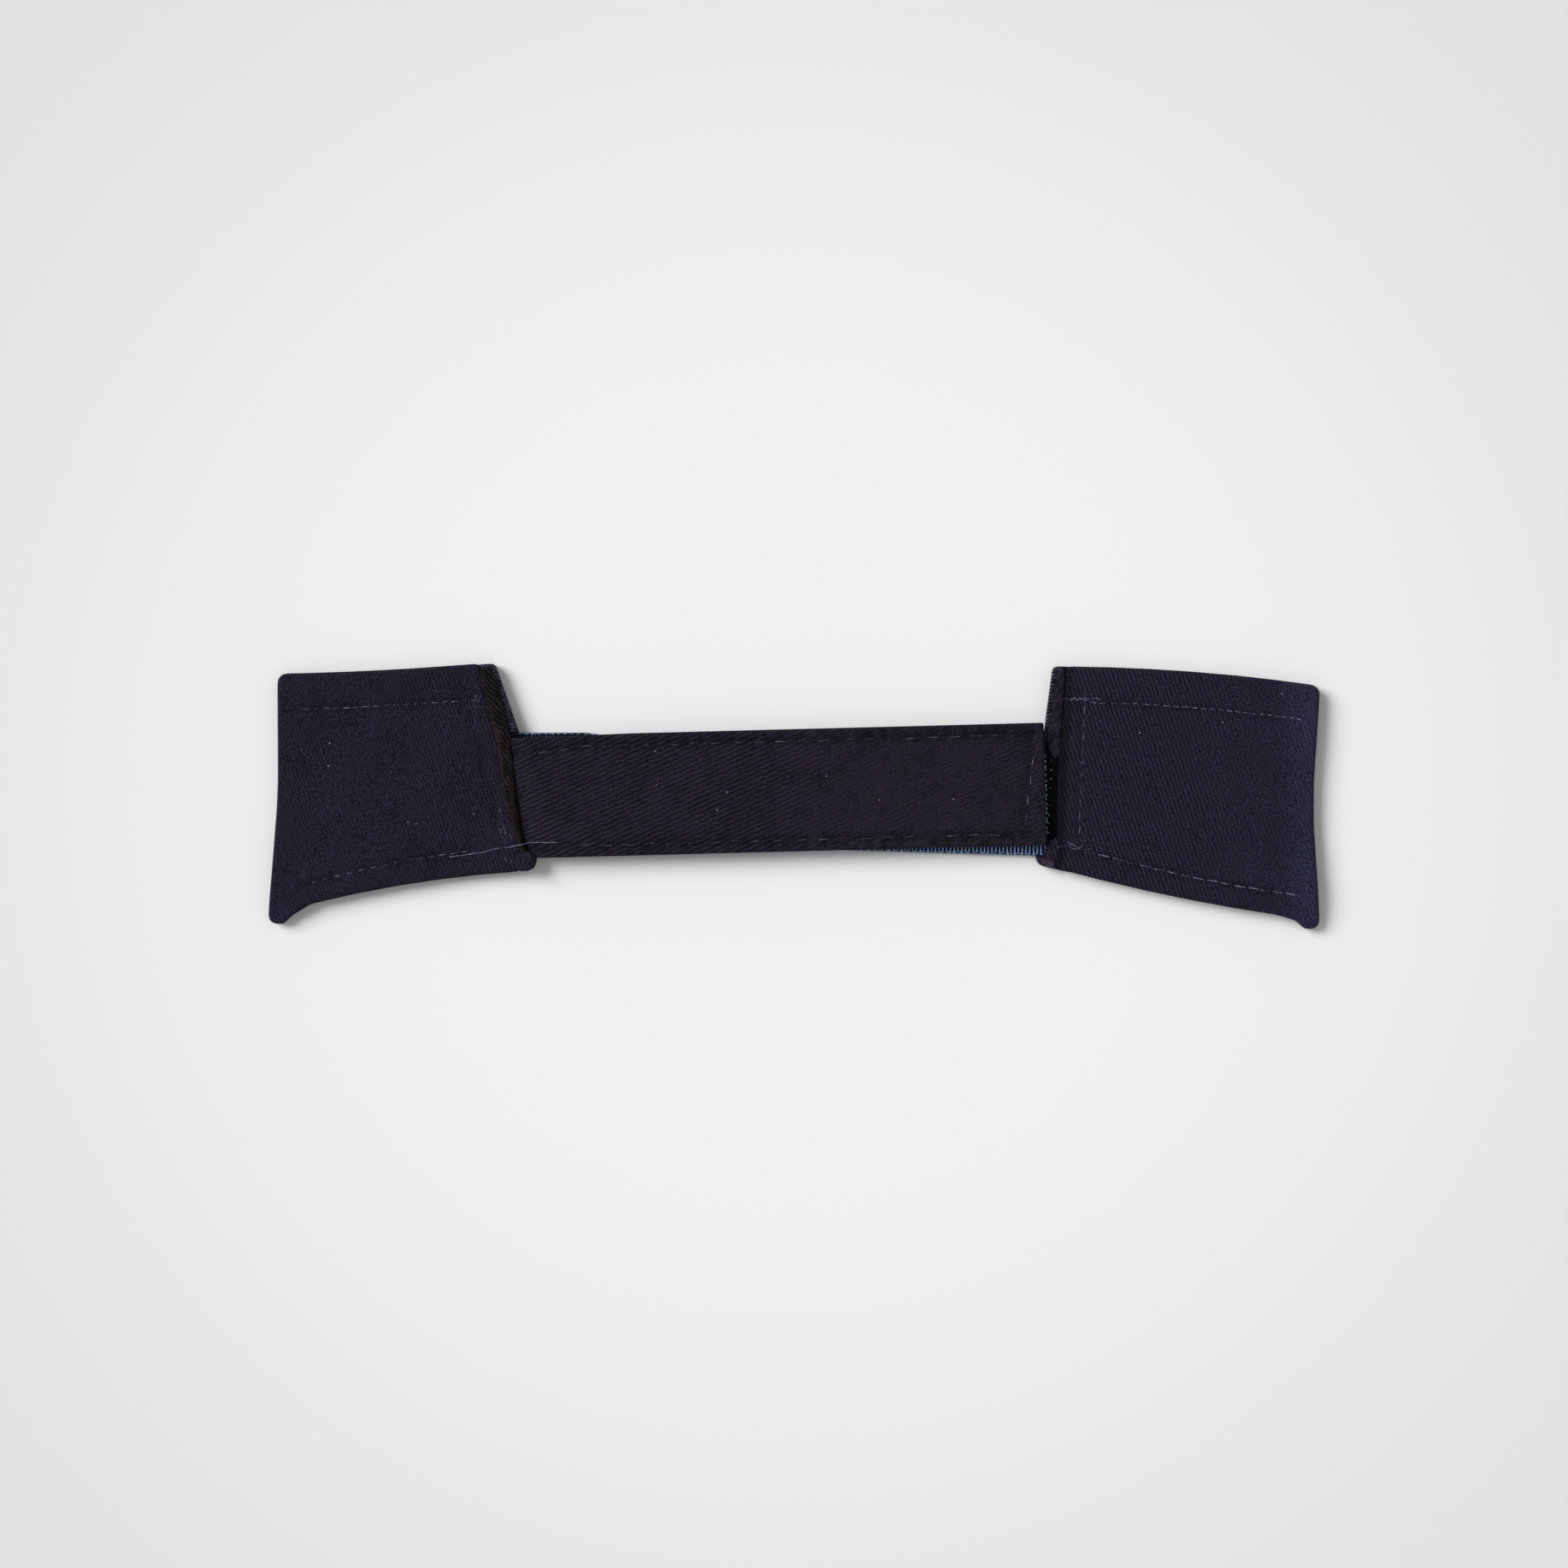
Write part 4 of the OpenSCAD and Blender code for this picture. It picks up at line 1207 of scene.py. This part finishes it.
tangle("left_top_knot", (-57.1, 17.2), (0.9, 1.0), 9, 101)
tangle("left_bottom_tangle", (-52.7, -6.5), (0.5, 0.6), 7, 102)
snags = [lying(left_top, path) for path in (
    ((-52.5, -3.2), (-52.3, -4.6), (-52.0, -5.8), (-51.8, -6.9)), ((-53.0, -2.3), (-52.7, -2.9)),
    ((-52.5, -7.0), (-52.1, -7.7), (-51.6, -8.4)), ((-51.2, -6.8), (-50.8, -7.4), (-50.4, -7.9)),
    ((-51.6, -7.2), (-51.1, -7.9)), ((-52.0, -11.2), (-51.5, -11.7)), ((-50.9, -11.4), (-50.6, -12.0)))]
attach(strands("left_snagged_ends", snags, 0.05), "left_seam")
knot = [[on(right_top, (x, 17.4 + 0.16 * math.sin(2.1 * x + 2 * k) + 0.1 * math.sin(5 * x + k)),
            0.1 * k + 0.12 * math.sin(3.7 * x))
         for x in np.arange(48.4 + 1.2 * k, 56.0 - 1.6 * k, 0.3)] for k in range(3)]
RIGHT.bend(strands("right_top_knot", knot, 0.09))
stray = [[(47.3, -9.3, 3.1), (48.3, -8.9, 3.1)] + lying(right_top, (
    (49.5, -9.0), (50.4, -9.5), (51.4, -9.3), (52.1, -8.6), (52.6, -7.9)), 0.15),
    lying(right_top, ((49.2, -8.3), (50.6, -8.9), (52.0, -9.6), (53.6, -9.4)), 0.12)]
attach(strands("right_stray_threads", stray, 0.05), "under_strap")
fibre = lying(right_top, ((86.9, -17.9), (87.0, -17.1), (87.4, -16.6), (88.2, -16.1)), 0.3)
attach(strands("right_loose_fibre", [fibre], 0.06), "right_wing")


def lint(name, top, specks):
    """White specks that dark cloth picks up. The first one is the largest."""
    dice, skin, radius = random.Random(111), Skin(), 0.085
    for x, y in specks:
        a, reach = dice.uniform(0, math.tau), dice.uniform(0.1, 0.3)
        ends = [(x, y), (x + reach * math.cos(a), y + reach * math.sin(a))]
        skin.tube(line_through(lying(top, ends, 0.05), 0.1), radius)
        radius = 0.055
    return skin.piece(name, LINT, "thread")


LEFT.bend(lint("left_lint", left_top, (
    (-83.5, 9.6), (-83.8, 5.5), (-69.3, -4.7), (-67.9, -5.0), (-57.5, -3.2))))
RIGHT.bend(lint("right_lint", right_top, ((62.2, 11.5), (77.0, 13.3), (87.9, 18.4))))
peel(lint("strap_lint", over_top, (
    (-13.8, -2.4), (-25.0, 8.1), (-11.9, 0.7), (5.8, 3.5), (15.4, -0.7), (28.7, -0.4))))
curl = lying(over_top, ((-26.1, 2.0), (-25.4, 2.9), (-24.6, 3.1), (-24.4, 2.3), (-24.9, 1.7)))
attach(strands("strap_loose_fibre", [curl], 0.032), "over_strap")

# The pale blue selvedge of the loop tape shows along the strap's free end.
picks = [[(*OVER.at(OVER_END + out * CHANCE.uniform(0.6, 1.4), t + along), 2.95)
          for out, along in ((-0.1, -0.2), (0.14, -0.14), (0.22, 0.0), (0.14, 0.14), (-0.1, 0.2))]
         for t in np.arange(-8.6, 5.6, 0.85) + [CHANCE.uniform(-0.25, 0.25) for _ in range(17)]]
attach(strands("strap_end_selvedge", picks, 0.09, SELVEDGE, "loop_tape"), "over_strap")

# --- stage ---

centre = (np.array(cad_box[0]) + np.array(cad_box[1]))[:2] / 2 / MM
VIEW = (centre[0] - 1.79, centre[1] + 2.23)      # what the camera looks down on
FIELD, LENS, SENSOR = 282.15, 85.0, 36.0         # the width that it sees, and its own sizes
TABLE_REACH = 3.5                                # metres


def staged(name, data):
    made = bpy.data.objects.new(name, data)
    bpy.context.scene.collection.objects.link(made)
    return made


camera = staged("camera", bpy.data.cameras.new("camera"))
camera.data.lens, camera.data.sensor_width = LENS, SENSOR
camera.data.clip_start, camera.data.clip_end = 0.01, 20
camera.location = (VIEW[0] * MM, VIEW[1] * MM, (FIELD * LENS / SENSOR + 2.5) * MM)
bpy.context.scene.camera = camera

# soft light from the upper left, as from a window
sun = staged("window", bpy.data.lights.new("window", "SUN"))
sun.data.energy, sun.data.angle = 3.22, math.radians(34)
sun.rotation_euler = (math.radians(54), 0, math.radians(245))

world = bpy.data.worlds.new("studio")
bpy.context.scene.world = world
world.use_nodes = True
sky = world.node_tree
sky.nodes.clear()
seen = add(sky, "LightPath").outputs
direct = add(sky, "Math", {0: seen["Is Camera Ray"], 1: seen["Is Glossy Ray"]}, operation="MAXIMUM")
strength = add(sky, "MapRange", {"Value": direct, "To Min": 0.4, "To Max": 0.86})
back = add(sky, "Background", {"Color": (1, 1, 1, 1), "Strength": strength})
add(sky, "OutputWorld", {"Surface": back})

mesh = bpy.data.meshes.new("table")
corners = [(x * TABLE_REACH, y * TABLE_REACH, 0) for x, y in ((-1, -1), (1, -1), (1, 1), (-1, 1))]
mesh.from_pydata(corners, [], [(0, 1, 2, 3)])
table = staged("table", mesh)
table.location.z = -0.0001
# matt white laminate, painted darker away from the middle: a painted vignette of shade
laminate, tree = started("white_table_laminate")
place = add(tree, "NewGeometry").outputs["Position"]
away = add(tree, "VectorMath", {0: place, 1: (VIEW[0] * MM, VIEW[1] * MM, 0)},
           operation="DISTANCE").outputs["Value"]
painted_vignette = add(tree, "MapRange", {"Value": away, "From Min": 0.06, "From Max": 0.2},
           interpolation_type="SMOOTHSTEP")
white = add(tree, "Mix", {0: painted_vignette, MIX_A: (0.874, 0.874, 0.874, 1), MIX_B: (0.752, 0.752, 0.752, 1)},
            data_type="RGBA")
matt = add(tree, "BsdfPrincipled", {"Base Color": white, "Roughness": 0.9, "Specular IOR Level": 0.1})
add(tree, "OutputMaterial", {"Surface": matt})
mesh.materials.append(laminate)
bpy.context.scene.view_settings.view_transform = "Standard"
